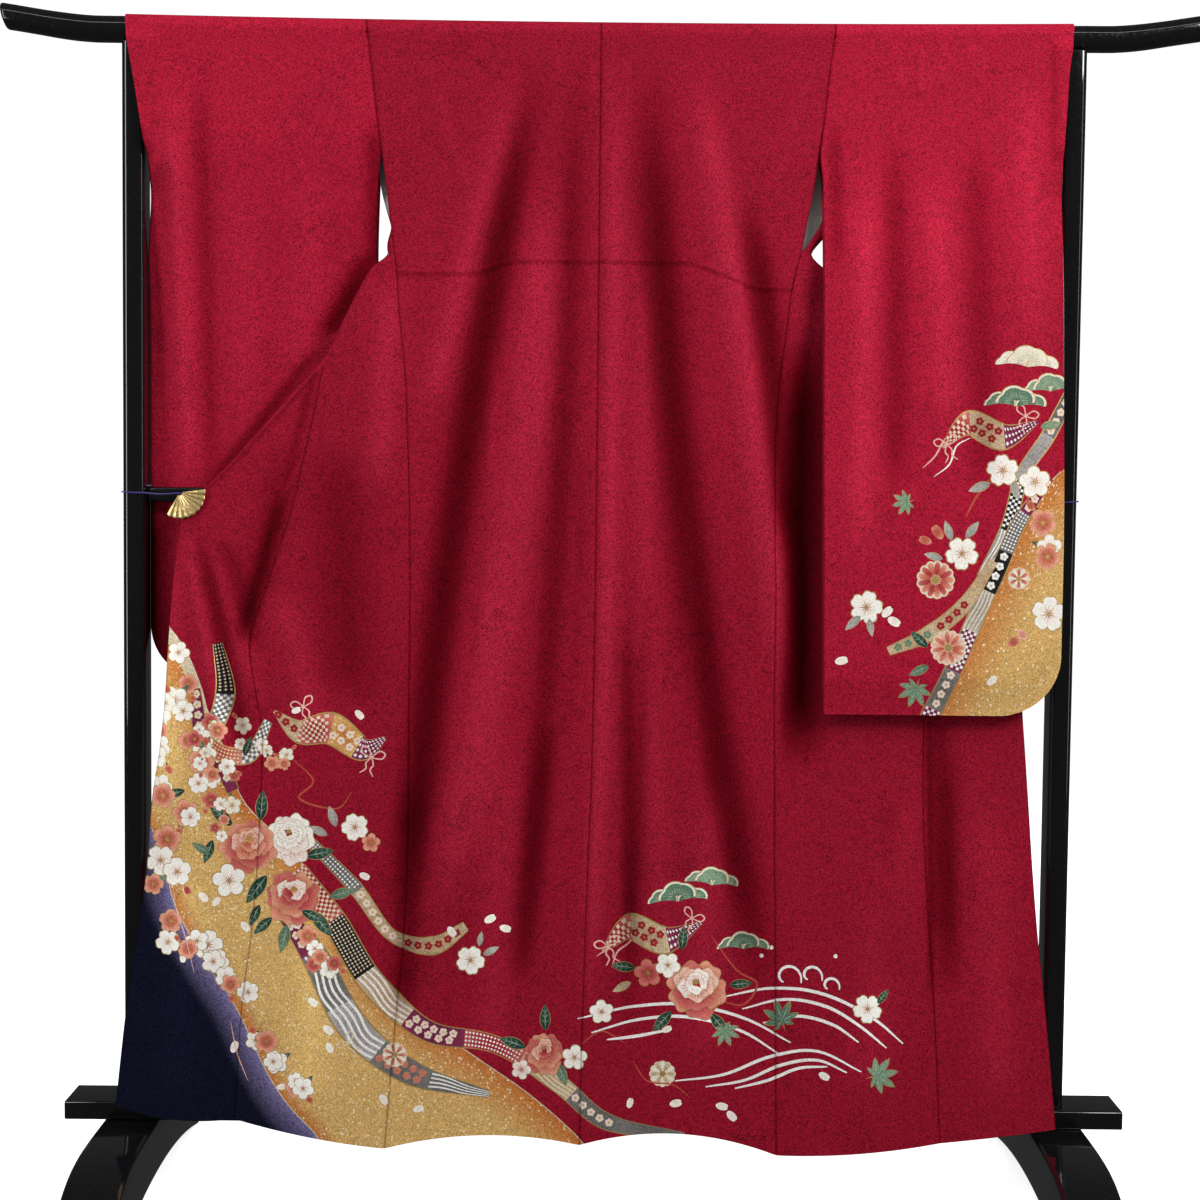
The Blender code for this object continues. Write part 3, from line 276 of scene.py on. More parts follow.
SIDES = {
    -1: Table(
        'seam okumi fold end', (1.7, 0.342, 0.39, 0.342, 0.03), (1.652, 0.336, 0.39, 0.336, 0.052),
        (1.62, 0.332, 0.39, 0.332, 0.08), (1.558, 0.325, 0.39, 0.325, 0.092), (1.45, 0.31, 0.39, 0.31, 0.13),
        (1.366, 0.299, 0.39, 0.304, 0.175), (1.338, 0.295, 0.39, 0.332, 0.198),
        (1.3, 0.292, 0.391, 0.353, 0.227), (1.249, 0.287, 0.392, 0.378, 0.272),
        (1.21, 0.283, 0.396, 0.397, 0.307), (1.178, 0.28, 0.401, 0.425, 0.338),
        (1.138, 0.278, 0.408, 0.46, 0.378), (1.095, 0.276, 0.417, 0.497, 0.425),
        (1.055, 0.274, 0.426, 0.532, 0.478), (1.02, 0.273, 0.433, 0.567, 0.53),
        (1.0, 0.272, 0.438, 0.59, 0.567), (0.978, 0.272, 0.444, 0.597, 0.577),
        (0.934, 0.271, 0.458, 0.604, 0.59), (0.875, 0.27, 0.477, 0.61, 0.602), (0.8, 0.27, 0.498, 0.615, 0.612),
        (0.722, 0.27, 0.487, 0.619, 0.6185), (0.658, 0.27, 0.478, 0.625, 0.625),
        (0.577, 0.27, 0.48, 0.636, 0.636), (0.484, 0.271, 0.484, 0.642, 0.642),
        (0.397, 0.274, 0.49, 0.653, 0.653), (0.271, 0.285, 0.504, 0.668, 0.668),
        (0.1, 0.299, 0.514, 0.684, 0.684)),
    1: Table(
        'seam okumi fold end', (1.7, 0.332, 0.39, 0.332, 0.03), (1.652, 0.326, 0.39, 0.326, 0.052),
        (1.62, 0.322, 0.39, 0.322, 0.08), (1.558, 0.316, 0.39, 0.316, 0.092), (1.45, 0.301, 0.39, 0.301, 0.13),
        (1.412, 0.2935, 0.39, 0.314, 0.15), (1.366, 0.285, 0.39, 0.3, 0.175),
        (1.338, 0.277, 0.39, 0.326, 0.198), (1.3, 0.27, 0.391, 0.35, 0.227),
        (1.249, 0.264, 0.392, 0.378, 0.272), (1.21, 0.259, 0.396, 0.399, 0.307),
        (1.178, 0.255, 0.401, 0.427, 0.338), (1.138, 0.253, 0.408, 0.462, 0.378),
        (1.095, 0.251, 0.417, 0.499, 0.425), (1.055, 0.251, 0.426, 0.534, 0.478),
        (1.02, 0.251, 0.433, 0.569, 0.53), (1.0, 0.251, 0.438, 0.59, 0.567),
        (0.978, 0.251, 0.444, 0.597, 0.577), (0.934, 0.251, 0.455, 0.602, 0.588),
        (0.875, 0.252, 0.464, 0.605, 0.597), (0.8, 0.252, 0.469, 0.608, 0.605),
        (0.722, 0.252, 0.469, 0.61, 0.6095), (0.658, 0.253, 0.468, 0.6145, 0.6145),
        (0.577, 0.254, 0.468, 0.62, 0.62), (0.484, 0.255, 0.472, 0.626, 0.626),
        (0.397, 0.257, 0.478, 0.633, 0.633), (0.271, 0.259, 0.487, 0.646, 0.646),
        (0.1, 0.262, 0.496, 0.662, 0.662))}
CENTRE_SEAM = Table(
    'x', (1.7, -0.005), (1.0, -0.005), (0.61, -0.008), (0.525, -0.011), (0.24, -0.018), (0.1, -0.02))
# Height of the hem at each panel's inner seam, middle and outer seam
HEMS = {
    'back_left': (0.088, 0.101, 0.08), 'front_left': (0.08, 0.095, 0.121), 'okumi_left': (0.121, 0.119, 0.139),
    'back_right': (0.088, 0.106, 0.076), 'front_right': (0.076, 0.079, 0.096),
    'okumi_right': (0.096, 0.106, 0.118)}
SLEEVES = {
    -1: Table(
        'inner near_outer far_outer', (1.7, 0.342, 0.688, 0.688), (1.66, 0.337, 0.682, 0.682),
        (1.628, 0.333, 0.676, 0.676), (1.571, 0.326, 0.666, 0.6555), (1.527, 0.321, 0.659, 0.6535),
        (1.48, 0.322, 0.652, 0.652), (1.44, 0.3235, 0.6525, 0.6525), (1.35, 0.326, 0.6583, 0.6583),
        (0.72, 0.326, 0.6583, 0.6583)),
    1: Table(
        'inner near_outer far_outer', (1.7, 0.332, 0.673, 0.673), (1.66, 0.327, 0.668, 0.657),
        (1.628, 0.323, 0.664, 0.655), (1.571, 0.3175, 0.661, 0.655), (1.527, 0.312, 0.658, 0.654),
        (1.48, 0.3135, 0.656, 0.655), (1.44, 0.314, 0.656, 0.656), (1.0, 0.318, 0.661, 0.661),
        (0.7, 0.321, 0.658, 0.658))}

# Columns of all tables of folds: x_top z_top x_low z_low bend width height
BODY_FOLDS = (
    (-0.125, 1.62, -0.255, 1.1, 0.0, 0.022, 0.006), (-0.095, 1.66, -0.272, 0.4, -0.018, 0.024, -0.0105),
    (-0.085, 1.48, -0.225, 0.4, 0.03, 0.026, 0.01), (-0.042, 1.66, -0.11, 0.3, 0.015, 0.018, -0.005),
    (0.012, 1.66, -0.015, 0.2, 0.014, 0.016, 0.007), (0.062, 1.66, 0.245, 0.28, -0.03, 0.026, -0.0095),
    (0.05, 1.45, 0.11, 0.25, -0.012, 0.018, 0.004), (0.072, 0.92, 0.045, 0.25, 0.0, 0.012, -0.004),
    (0.128, 1.64, 0.268, 0.72, 0.008, 0.022, 0.01), (0.2, 1.45, 0.266, 0.92, 0.012, 0.02, -0.009),
    (-0.302, 1.34, -0.318, 1.0, 0.0, 0.022, 0.006), (0.165, 0.62, 0.15, 0.18, 0.0, 0.028, 0.005),
    (-0.135, 0.7, -0.15, 0.15, 0.0, 0.026, 0.004), (-0.596, 0.97, -0.52, 0.6, 0.0, 0.012, 0.006),
    (-0.575, 0.96, -0.5, 0.62, 0.0, 0.014, -0.006), (-0.612, 0.96, -0.61, 0.55, 0.0, 0.016, 0.005),
    (-0.455, 0.88, -0.4, 0.66, 0.0, 0.022, 0.005), (-0.38, 1.1, -0.35, 0.7, 0.0, 0.04, -0.004),
    (-0.588, 0.5, -0.6, 0.12, 0.0, 0.03, 0.004), (-0.4, 0.45, -0.41, 0.12, 0.0, 0.03, 0.004),
    (0.44, 0.6, 0.38, 0.12, 0.0, 0.03, 0.004), (0.486, 0.74, 0.5, 0.35, 0.0, 0.018, -0.005),
    (0.56, 0.6, 0.58, 0.12, 0.0, 0.028, 0.004))
# Finer creases than the solids have
BODY_CREASES = (
    (0.006, 1.695, 0.004, 1.56, 0.0, 0.004, 0.0016), (-0.016, 1.69, -0.018, 1.57, 0.0, 0.005, 0.0012),
    (0.03, 1.69, 0.034, 1.52, 0.0, 0.006, 0.0012), (0.3, 1.66, 0.24, 1.44, 0.0, 0.008, 0.002),
    (-0.25, 1.6, -0.19, 1.44, 0.0, 0.01, 0.0018), (0.06, 1.4, 0.058, 1.28, 0.0, 0.006, -0.0012),
    (-0.03, 1.1, -0.052, 0.62, 0.01, 0.008, -0.0014), (0.12, 1.05, 0.15, 0.55, 0.0, 0.01, 0.0016),
    (-0.16, 1.25, -0.17, 0.75, 0.01, 0.01, 0.0016), (-0.56, 0.95, -0.48, 0.7, 0.0, 0.014, 0.003),
    (-0.54, 0.95, -0.49, 0.78, 0.0, 0.016, -0.004), (0.294, 1.26, 0.29, 0.62, 0.0, 0.027, -0.016),
    (0.262, 1.25, 0.256, 0.6, 0.0, 0.01, 0.003), (-0.452, 1.09, -0.512, 0.8, 0.004, 0.022, -0.003),
    (-0.262, 0.62, -0.275, 0.25, 0.0, 0.018, -0.007), (-0.07, 0.7, -0.11, 0.3, 0.0, 0.016, -0.0045),
    (0.04, 0.86, 0.048, 0.35, 0.0, 0.01, -0.005), (0.5, 0.66, 0.505, 0.3, 0.0, 0.016, -0.006),
    (0.418, 0.6, 0.42, 0.3, 0.0, 0.018, -0.003))
SLEEVE_FOLDS = {
    -1: (
        (0.618, 1.62, 0.6, 0.98, 0.0, 0.02, 0.006), (0.578, 1.64, 0.572, 1.0, 0.0, 0.014, -0.003),
        (0.52, 1.5, 0.52, 0.9, 0.0, 0.03, 0.003), (0.42, 1.5, 0.44, 1.1, 0.0, 0.03, 0.003)),
    1: (
        (0.375, 1.5, 0.368, 0.9, 0.0, 0.022, 0.006), (0.47, 1.48, 0.49, 1.1, 0.0, 0.022, 0.005),
        (0.602, 1.64, 0.615, 1.2, 0.0, 0.024, 0.004), (0.414, 1.55, 0.42, 1.0, 0.0, 0.018, -0.004),
        (0.53, 1.55, 0.545, 1.0, 0.0, 0.02, -0.0035), (0.42, 1.68, 0.42, 1.6, 0.0, 0.008, 0.003),
        (0.452, 1.68, 0.452, 1.59, 0.0, 0.008, 0.0035), (0.484, 1.68, 0.484, 1.6, 0.0, 0.008, 0.003),
        (0.53, 1.68, 0.53, 1.61, 0.0, 0.01, 0.0025))}


def bar_shift(x: Array) -> Array:
    """Rise of the bar's centre line: a parabola sags between the posts, and an eased step lifts both ends."""
    sag = BAR_SAG * (1.0 - np.clip(np.abs(x) / POST_OUTER, 0.0, 1.0) ** 2)
    return BAR_LIFT * ease((np.abs(x) - BAR_BEND) / BAR_TURN) - sag


def relief(folds: Rows, x: Array, z: Array) -> Array:
    """Height of soft folds: each a bell across its own slanting line, eased in at the top and out at the foot."""
    total = np.zeros(np.broadcast(x, z).shape)
    for x_top, z_top, x_low, z_low, bend, width, height in folds:
        t = (z_top - z) / (z_top - z_low)
        line = x_top + (x_low - x_top) * t + 4.0 * bend * t * (1.0 - t)
        fade = ease((t + 0.02) / 0.25) * ease((1.02 - t) / 0.2)
        total += height * fade * np.exp(-(((x - line) / width) ** 2))
    return total


def hem_height(panel: str, t: Array) -> Array:
    """Height of the hem across a panel, on the parabola through its three named heights."""
    inner, middle, outer = HEMS[panel]
    return inner * (1 - t) * (1 - 2 * t) + 4.0 * middle * t * (1 - t) + outer * t * (2 * t - 1)


def near_hem(level: Array) -> Array:
    """How far a row follows the hem's curve: fully at the hem, eased to nothing at HEM_REACH."""
    return ease((HEM_REACH - level) / (HEM_REACH - LEVEL_LOW))


def near_bar(z: Array) -> Array:
    """How far the cloth follows the bar's sag: eased from nothing at SAG_START to fully above it."""
    return ease((z - SAG_START) / SAG_RISE)


def hung(level: Array, x: Array, hem: Array) -> Array:
    """Height of a point at a nominal level: rows near the hem follow its curve, and the top rows the bar."""
    return level + (hem - LEVEL_LOW) * near_hem(level) + bar_shift(x) * near_bar(level)


def level_of(z: Array, hem: Array) -> Array:
    """Nominal level of a point at height z, found by going back through the hem's curve a few times."""
    level = z.copy()
    for _ in range(6):
        level = z - (hem - LEVEL_LOW) * near_hem(level)
    return level


def tuck_line(x: Array) -> Array:
    """Height of the waist tuck's seam, highest near the middle and lower towards the side seams."""
    return TUCK_HEIGHT - 0.0195 * ease((-0.117 - x) / 0.08) - 0.037 * ease((x - 0.11) / 0.13)


def tuck(x: Array, z: Array) -> Array:
    """Step of the waist tuck: the cloth above its seam stands proud, with small puckers along the stitches."""
    line = tuck_line(x)
    above = np.clip((z - line) / 0.004, 0.0, 1.0) * ease((line + 0.1 - z) / 0.1)
    pucker = 0.0004 * np.sin(x * 640.0) * np.sin(x * 71.0) * np.exp(-(((z - line + 0.002) / 0.008) ** 2))
    return TUCK_DEPTH * above + pucker


def seam_dip(distance: Array) -> Array:
    """Depth of the small furrow along a seam: a bell over the distance to it."""
    return 0.0013 * np.exp(-((distance / 0.0028) ** 2))


# The sewn pieces


@dataclass
class Panel:
    """One sewn piece: a flat cut, width by length, and the surface that carries it to its place."""

    side: Side
    name: str = ""
    nodes: Tuple[str, ...] = ()
    width: float = 0.335
    low: float = LEVEL_LOW
    top: float = 1.7
    step: float = 0.0062
    outward: float = 1.0
    art: str = "body"
    flat: Pair = (0.335, 1.66)
    shift: Pair = (0.0, 0.0)
    finer: Optional[Pair] = None
    tucked_within: float = 0.0

    def surface(self, a: Array, v: Array) -> Array:
        """Outer points of the cloth at places a across and v along the flat cut."""
        raise NotImplementedError

    def lay(self, x: Array, z: Array) -> Tuple[Array, Array]:
        """Place on the flat cut of points that the viewer sees at x and z."""
        raise NotImplementedError

    def folds(self) -> Rows:
        """Folds whose valleys get painted shade and whose ridges get painted highlight on this piece."""
        return BODY_FOLDS + BODY_CREASES

    def shades(self) -> Rows:
        """Painted shadows that other pieces cast on this one, and painted highlights on its rolled edges."""
        return BODY_SHADES

    def tone(self, a: Array, v: Array, points: Array) -> Array:
        """Painted light and shade that the dye is multiplied by: painted shade in the valleys of folds, under the
        tuck and in cast shadows, painted highlight on ridges, and darker stitched seams.
        """
        x, z = points[:, 0], points[:, 2]
        # painted shade in the valleys of folds and painted highlight on their ridges
        depth = relief(self.folds(), x, z) * ease((1.68 - z) / 0.1)
        near = np.minimum(a, self.width - a)
        stitched = np.abs(x) < self.tucked_within
        # painted shade under the step of the waist tuck
        tucked = 1.0 - TUCK_SHADE * np.exp(-(((z - tuck_line(x) + 0.001) / TUCK_SHADE_WIDTH) ** 2)) * stitched
        # painted shadows, and painted highlights, from the pieces that lie on this one
        cast = relief(self.shades(), x, z) * (v < BAR_HEIGHT + WRAP)
        lit = np.exp(depth * np.where(depth > 0, RIDGE_HIGHLIGHT_SHARE * FOLD_SHADE, FOLD_SHADE) + cast)
        stitches = 1.0 - SEAM_TONE * np.exp(-((near / SEAM_WIDTH) ** 2))
        return np.clip(lit, *PAINTED_LIGHT_RANGE) * stitches * tucked

    def columns(self) -> Array:
        """Places of the columns across the cut, closer together beside its seams."""
        inner = np.linspace(0.0045, self.width - 0.0045, max(4, round(self.width / self.step)))
        return np.concatenate([[0.0, 0.0012, 0.0026], inner, self.width - np.array([0.0026, 0.0012, 0.0])])

    def rows(self) -> Array:
        """Places of the rows along the cut, closer together round the bar."""
        straight = np.linspace(self.low, BAR_HEIGHT - 0.01, round((BAR_HEIGHT - 0.01 - self.low) / self.step))
        if self.finer is not None:
            low, high = self.finer
            fine = np.linspace(low, high, round((high - low) / 0.0017))
            before, after = straight < low - 0.001, straight > high + 0.001
            straight = np.concatenate([straight[before], fine, straight[after]])
        if self.top <= BAR_HEIGHT:
            return np.linspace(self.low, self.top, round((self.top - self.low) / self.step))
        over = np.linspace(BAR_HEIGHT - 0.006, self.top, max(3, round((self.top - BAR_HEIGHT) / 0.0036)))
        return np.concatenate([straight, over])

    def normal(self, a: Array, v: Array) -> Array:
        """Outward unit normals, from the differences of the surface across and along the cut."""
        e = 0.0004
        low_a, high_a = np.clip(a - e, 0.0, self.width), np.clip(a + e, 0.0, self.width)
        low_v, high_v = np.clip(v - e, self.low, self.top), np.clip(v + e, self.low, self.top)
        across = self.surface(high_a, v) - self.surface(low_a, v)
        along = self.surface(a, high_v) - self.surface(a, low_v)
        return self.outward * unit(np.cross(across, along))


class BackPanel(Panel):
    """One back length, from behind the bar over its top and down to the hem."""

    def __init__(self, side: Side) -> None:
        """Name the piece and size its flat cut."""
        node = "back_" + side.word
        behind = BAR_HEIGHT - BACK_EDGE
        super().__init__(side, node + "_cloth", (node,), top=BAR_HEIGHT + math.pi * WRAP + behind)
        self.node = node
        self.outward = float(side.value)
        self.finer = (TUCK_HEIGHT - 0.046, TUCK_HEIGHT + 0.01)
        self.tucked_within = 0.3

    def surface(self, a: Array, v: Array) -> Array:
        """Place between the centre seam and the side seam, at the depth of the back and round the bar."""
        k, t = self.side.value, a / self.width
        over = np.clip((v - BAR_HEIGHT) / WRAP, 0.0, math.pi)
        beyond = np.maximum(v - BAR_HEIGHT - math.pi * WRAP, 0.0)
        height = np.minimum(v, BAR_HEIGHT) + WRAP * np.sin(over) - beyond
        level = np.minimum(height, 1.7)
        middle, seam = CENTRE_SEAM.at("x", level), k * SIDES[k].at("seam", level)
        x = middle + (seam - middle) * t
        z = hung(height, x, hem_height(self.node, t))
        straight = np.where(v < BAR_HEIGHT, DEPTHS.at("back", v), -WRAP * np.cos(over))
        facing = ease((1.672 - z) / 0.06) * (v < BAR_HEIGHT)
        edge = seam_dip(np.minimum(a, self.width - a)) * ease((BAR_HEIGHT + 0.02 - v) / 0.02)
        creases = relief(BODY_CREASES, x, z) * (v < BAR_HEIGHT)
        y = straight - facing * (relief(BODY_FOLDS, x, z) + tuck(x, z)) - creases + edge
        return np.stack([x, y, z], -1)

    def lay(self, x: Array, z: Array) -> Tuple[Array, Array]:
        """Share of the way to the side seam, and the level before the hem's curve."""
        k = self.side.value
        level, t = z, np.zeros_like(z)
        for _ in range(4):
            middle = CENTRE_SEAM.at("x", level)
            t = (x - middle) / (k * SIDES[k].at("seam", level) - middle)
            level = level_of(z, hem_height(self.node, np.clip(t, 0.0, 1.0)))
        return t * self.width, level


class FrontPanel(Panel):
    """A front length or its overlap panel, spread outwards and folded back above the clip."""

    def __init__(self, side: Side, part: str) -> None:
        """Name the piece and size its flat cut."""
        node = part + "_" + side.word
        top = BACK_EDGE - SEAM_GAP if part == "front" else KENSAKI - 0.02
        width = 0.26 if part == "front" else 0.2
        super().__init__(side, node + "_cloth", (node,), width=width, top=top, step=0.0056)
        self.part, self.node = part, node
        self.outward = float(side.value)
        self.flat = (0.24, 1.66) if part == "front" else (0.15, 1.22)

    def free(self, v: Array) -> Array:
        """Share of the fold that is open, at the armhole."""
        return ease((v - OPENS[self.side.value]) / EDGE_RISE)

    def loose(self, v: Array) -> Array:
        """How far the front stands out from the side seam beside the armhole, by half a sine."""
        side = self.side.value
        return LOOSE[side] * np.sin(math.pi * np.clip((v - LOOSE_FROM[side]) / LOOSE_RISE, 0.0, 1.0))

    def lengths(self, v: Array) -> Tuple[Array, Array, Array, Array]:
        """Arc lengths of a row: to its fold, round it, to the overlap seam and to its inner edge."""
        table, radius = SIDES[self.side.value], DEPTHS.at("radius", v)
        seam, fold, end = table.at("seam", v), table.at("fold", v), table.at("end", v)
        out = np.maximum(fold - radius - seam, 0.0)
        turn = radius * math.pi * (1.0 - self.free(v))
        total = out + turn + (seam + self.loose(v) + out - end)
        blend = ease((v - 0.93) / 0.08)
        curled = out + radius + 1.2 * np.clip(fold - end, 0.0, None)
        total = total * blend + curled * (1.0 - blend)
        share = ease((v - 1.205) / (KENSAKI - 1.205))
        joined = np.minimum(table.at("okumi", v) - seam, out) * (1.0 - share) + total * share
        return out, turn, joined, total

    def reach(self, v: Array) -> Tuple[Array, Array, Array, Array, Array]:
        """First and last arc length of the piece's rows, the knots of its columns and the lap's step."""
        out, turn, joined, total = self.lengths(v)
        step = np.zeros_like(v)
        if self.part == "front":
            first, last = np.zeros_like(v), joined
        else:
            under = 0.02 * ease((v - 0.815) / 0.06) * ease((1.165 - v) / 0.05)
            left = float(self.side is Side.LEFT)
            step = 0.0034 * left * ease((v - 0.75) / 0.05) * ease((1.205 - v) / 0.03)
            first, last = joined - under * left, total
        length = last - first
        middle = np.clip((out + 0.5 * turn - first) / length, 0.0, 1.0)
        half = np.minimum(0.575 * turn / length, 0.3)
        lead = np.clip(middle - half, 0.12, 0.84 - half)
        trail = np.clip(middle + half, lead + 0.03, 0.9)
        inside = ease((out + turn - first) / 0.03) * ease((last - out) / 0.03)
        lead, trail = (knot * inside + even * (1 - inside) for knot, even in ((lead, AHEAD), (trail, TURNED)))
        return first, last, lead, trail, step

    def surface(self, a: Array, v: Array) -> Array:
        """Place on the row: straight out to the fold, round its half circle and straight back behind."""
        side, table, t = self.side.value, SIDES[self.side.value], a / self.width
        first, last, lead, trail, step = self.reach(v)
        share = np.where(t < AHEAD, t / AHEAD * lead, lead + (t - AHEAD) / AROUND * (trail - lead))
        share = np.where(t > TURNED, trail + (t - TURNED) / BEHIND * (1.0 - trail), share)
        s = first + (last - first) * share
        out, turn, _, _ = self.lengths(v)
        radius, seam = DEPTHS.at("radius", v), table.at("seam", v)
        free = self.free(v)
        start = math.pi * free
        angle = start + np.clip(s - out, 0.0, radius * (math.pi - start)) / radius
        back = np.maximum(s - out - radius * (math.pi - start), 0.0)
        x = side * (seam + self.loose(v) + np.minimum(s, out) + radius * (np.sin(angle) - np.sin(start)) - back)
        push = DEPTHS.at("push", v) * (side > 0)
        centre = DEPTHS.at("back", v) + push * ease(s / 0.045) + radius
        folded = centre - radius * np.cos(angle)
        hanging = DEPTHS.at("front", v) - radius - radius * np.cos(angle)
        y = folded * (1.0 - free) + hanging * free
        z = hung(v, x, hem_height(self.node, t))
        width = 0.02 + 0.03 * ease((v - 0.99) / 0.04)
        shown = ease((out - s) / width) * ease((1.62 - v) / 0.04)
        y = y + step * ease((out + 0.004 - s) / 0.01)
        y = y - shown * (relief(BODY_FOLDS, x, z) + relief(BODY_CREASES, x, z))
        if self.part == "front":
            y = y + seam_dip(a) * (1.0 - free)
        return np.stack([x, y, z], -1)

    def lay(self, x: Array, z: Array) -> Tuple[Array, Array]:
        """Arc length from the side seam, taken back through the columns' knots."""
        side = self.side.value
        level, t = z, np.zeros_like(z)
        for _ in range(4):
            first, last, lead, trail, _ = self.reach(level)
            share = (side * x - SIDES[side].at("seam", level) - first) / (last - first)
            turned = AHEAD + (share - lead) / (trail - lead) * AROUND
            t = np.where(share < lead, share / lead * AHEAD, turned)
            t = np.where(share > trail, TURNED + (share - trail) / (1.0 - trail) * BEHIND, t)
            level = level_of(z, hem_height(self.node, np.clip(t, 0.0, 1.0)))
        return t * self.width, level


class SleevePanel(Panel):
    """One sleeve: a single length from the near bottom seam over the bar to the far bottom seam."""

    def __init__(self, side: Side) -> None:
        """Name the piece and size its flat cut."""
        nodes = ("sleeve_near_" + side.word, "sleeve_far_" + side.word)
        self.corner = SLEEVE_CORNER * (math.pi / 2 - 1.0)
        top = 2 * BAR_HEIGHT + math.pi * WRAP - SLEEVE_LOW_LEVEL
        width = SLEEVE_WIDTH + self.corner
        name = "sleeve_" + side.word + "_cloth"
        super().__init__(side, name, nodes, width=width, low=SLEEVE_LOW_LEVEL, top=top)
        self.art = "sleeve_" + side.word
        self.outward = float(side.value)
        self.flat = (0.335, 1.98)

    def tone(self, a: Array, v: Array, points: Array) -> Array:
        """Painted light and shade for the dye, with painted shade on the left sleeve's outer edge beside the
        post.
        """
        tone = super().tone(a, v, points)
        if self.side is Side.RIGHT:
            return tone
        z = points[:, 2]
        low = ease((1.06 - z) / 0.12)
        shade = 0.06 + 0.94 * ease((self.width - a - 0.006 - 0.014 * low) / (0.02 + 0.025 * low))
        return tone * (1.0 - (1.0 - shade) * ease((1.56 - z) / 0.08))

    def shades(self) -> Rows:
        """Shades that the front and the back cast on the sleeve."""
        return SLEEVE_SHADES[self.side.value]

    def folds(self) -> Rows:
        """The sleeve's own folds, turned to its side."""
        k = self.side.value
        return [(k * a, b, k * c, d, k * e, f, g) for a, b, c, d, e, f, g in SLEEVE_FOLDS[k]]

    def rows(self) -> Array:
        """Rows down the near wall, round the bar and down the far wall."""
        wall = np.linspace(self.low, BAR_HEIGHT - 0.004, round((BAR_HEIGHT - self.low) / self.step))
        over = np.linspace(BAR_HEIGHT, BAR_HEIGHT + math.pi * WRAP, 20)
        far = np.linspace(BAR_HEIGHT + math.pi * WRAP + 0.004, self.top, len(wall))
        return np.concatenate([wall, over, far])

    def surface(self, a: Array, v: Array) -> Array:
        """Place between the sleeve's edges, on the near wall, round the bar or on the far wall."""
        side, table = self.side.value, SLEEVES[self.side.value]
        crest = BAR_HEIGHT + math.pi * WRAP / 2
        near = v <= crest
        down = np.where(near, v, 2 * crest - v)
        over = np.clip((down - BAR_HEIGHT) / WRAP, 0.0, math.pi / 2)
        angle = np.clip((a - SLEEVE_WIDTH + SLEEVE_CORNER) / SLEEVE_CORNER, 0.0, math.pi / 2)
        straight = SLEEVE_WIDTH - SLEEVE_CORNER
        share = (np.minimum(a, straight) + SLEEVE_CORNER * np.sin(angle)) / SLEEVE_WIDTH
        bottom = SLEEVE_BOTTOM[side] + 0.97 * SLEEVE_CORNER * (1.0 - np.cos(angle))
        t = (SLEEVE_TOP_LEVEL - down) / (SLEEVE_TOP_LEVEL - SLEEVE_LOW_LEVEL)
        level = np.where(down > SLEEVE_TOP_LEVEL, np.minimum(down, BAR_HEIGHT), SLEEVE_TOP_LEVEL)
        level = np.where(down > SLEEVE_TOP_LEVEL, level, SLEEVE_TOP_LEVEL - t * (SLEEVE_TOP_LEVEL - bottom))
        z = level + WRAP * np.sin(over)
        free = ease((ARMHOLE_END - z) / 0.06)
        inner = SIDES[side].at("seam", z) * (1.0 - free) + table.at("inner", z) * free
        outer = np.where(near, table.at("near_outer", z), table.at("far_outer", z))
        x = inner + (outer - inner) * share
        wall_near = DEPTHS.at("near_" + self.side.word, z)
        wall_far = DEPTHS.at("far_" + self.side.word, z)
        middle, half = (wall_near + wall_far) / 2, (wall_far - wall_near) / 2
        turned = ease((x - TURN_START) / TURN_WIDTH) * ease((TURN_TOP - z) / 0.15) * (side < 0)
        middle = middle - np.maximum(middle - TURNED_DEPTH, 0.0) * turned
        seam = (CLOTH + SEAM_GAP) * (1.0 + 0.25 * turned)
        closed = (1.0 - ease((1.0 - share) / 0.14)) * ease((CUFF_END + 0.01 - z) / 0.05)
        low = 1.0 - ease((z - bottom) / 0.06)
        half = seam + (half - seam) * (1.0 - closed) * (1.0 - low)
        bow = ease((x - 0.634) / 0.018) * ease((z - 1.49) / 0.03)
        folds = (1.0 - closed) * (1.0 - low) * relief(SLEEVE_FOLDS[side], x, z) * ease((1.672 - z) / 0.02)
        y_near = middle - half - POST_BOW["near"] * bow * ease((1.68 - z) / 0.02) - folds
        y_far = middle + half + POST_BOW["far"] * bow * (side < 0)
        y_far = y_far + 0.5 * (1.0 - closed) * (1.0 - low) * relief(SLEEVE_FOLDS[side][:3], x, z)
        y = np.where(near, y_near, y_far)
        y = np.where(down > BAR_HEIGHT, np.where(near, -1.0, 1.0) * WRAP * np.cos(over), y)
        y = y + np.where(near, 1.0, -1.0) * seam_dip(a) * ease((z - ARMHOLE_END) / 0.02) * (down < BAR_HEIGHT)
        z = z + bar_shift(x) * near_bar(z)
        return np.stack([side * x, y, z], -1)

    def lay(self, x: Array, z: Array) -> Tuple[Array, Array]:
        """Share of the way across, opened out round the lower corner, and the level above its bottom edge."""
        side, table = self.side.value, SLEEVES[self.side.value]
        inner, outer = table.at("inner", z), table.at("near_outer", z)
        across = (side * x - inner) / (outer - inner) * SLEEVE_WIDTH
        straight = SLEEVE_WIDTH - SLEEVE_CORNER
        angle = np.arcsin(np.clip((across - straight) / SLEEVE_CORNER, 0.0, 1.0))
        a = np.where(across < straight, across, straight + SLEEVE_CORNER * angle)
        a = a + np.maximum(across - SLEEVE_WIDTH, 0.0)
        bottom = SLEEVE_BOTTOM[side] + 0.97 * SLEEVE_CORNER * (1.0 - np.cos(angle))
        t = (SLEEVE_TOP_LEVEL - z) / (SLEEVE_TOP_LEVEL - bottom)
        return a, SLEEVE_TOP_LEVEL - t * (SLEEVE_TOP_LEVEL - SLEEVE_LOW_LEVEL)


# The dyed design


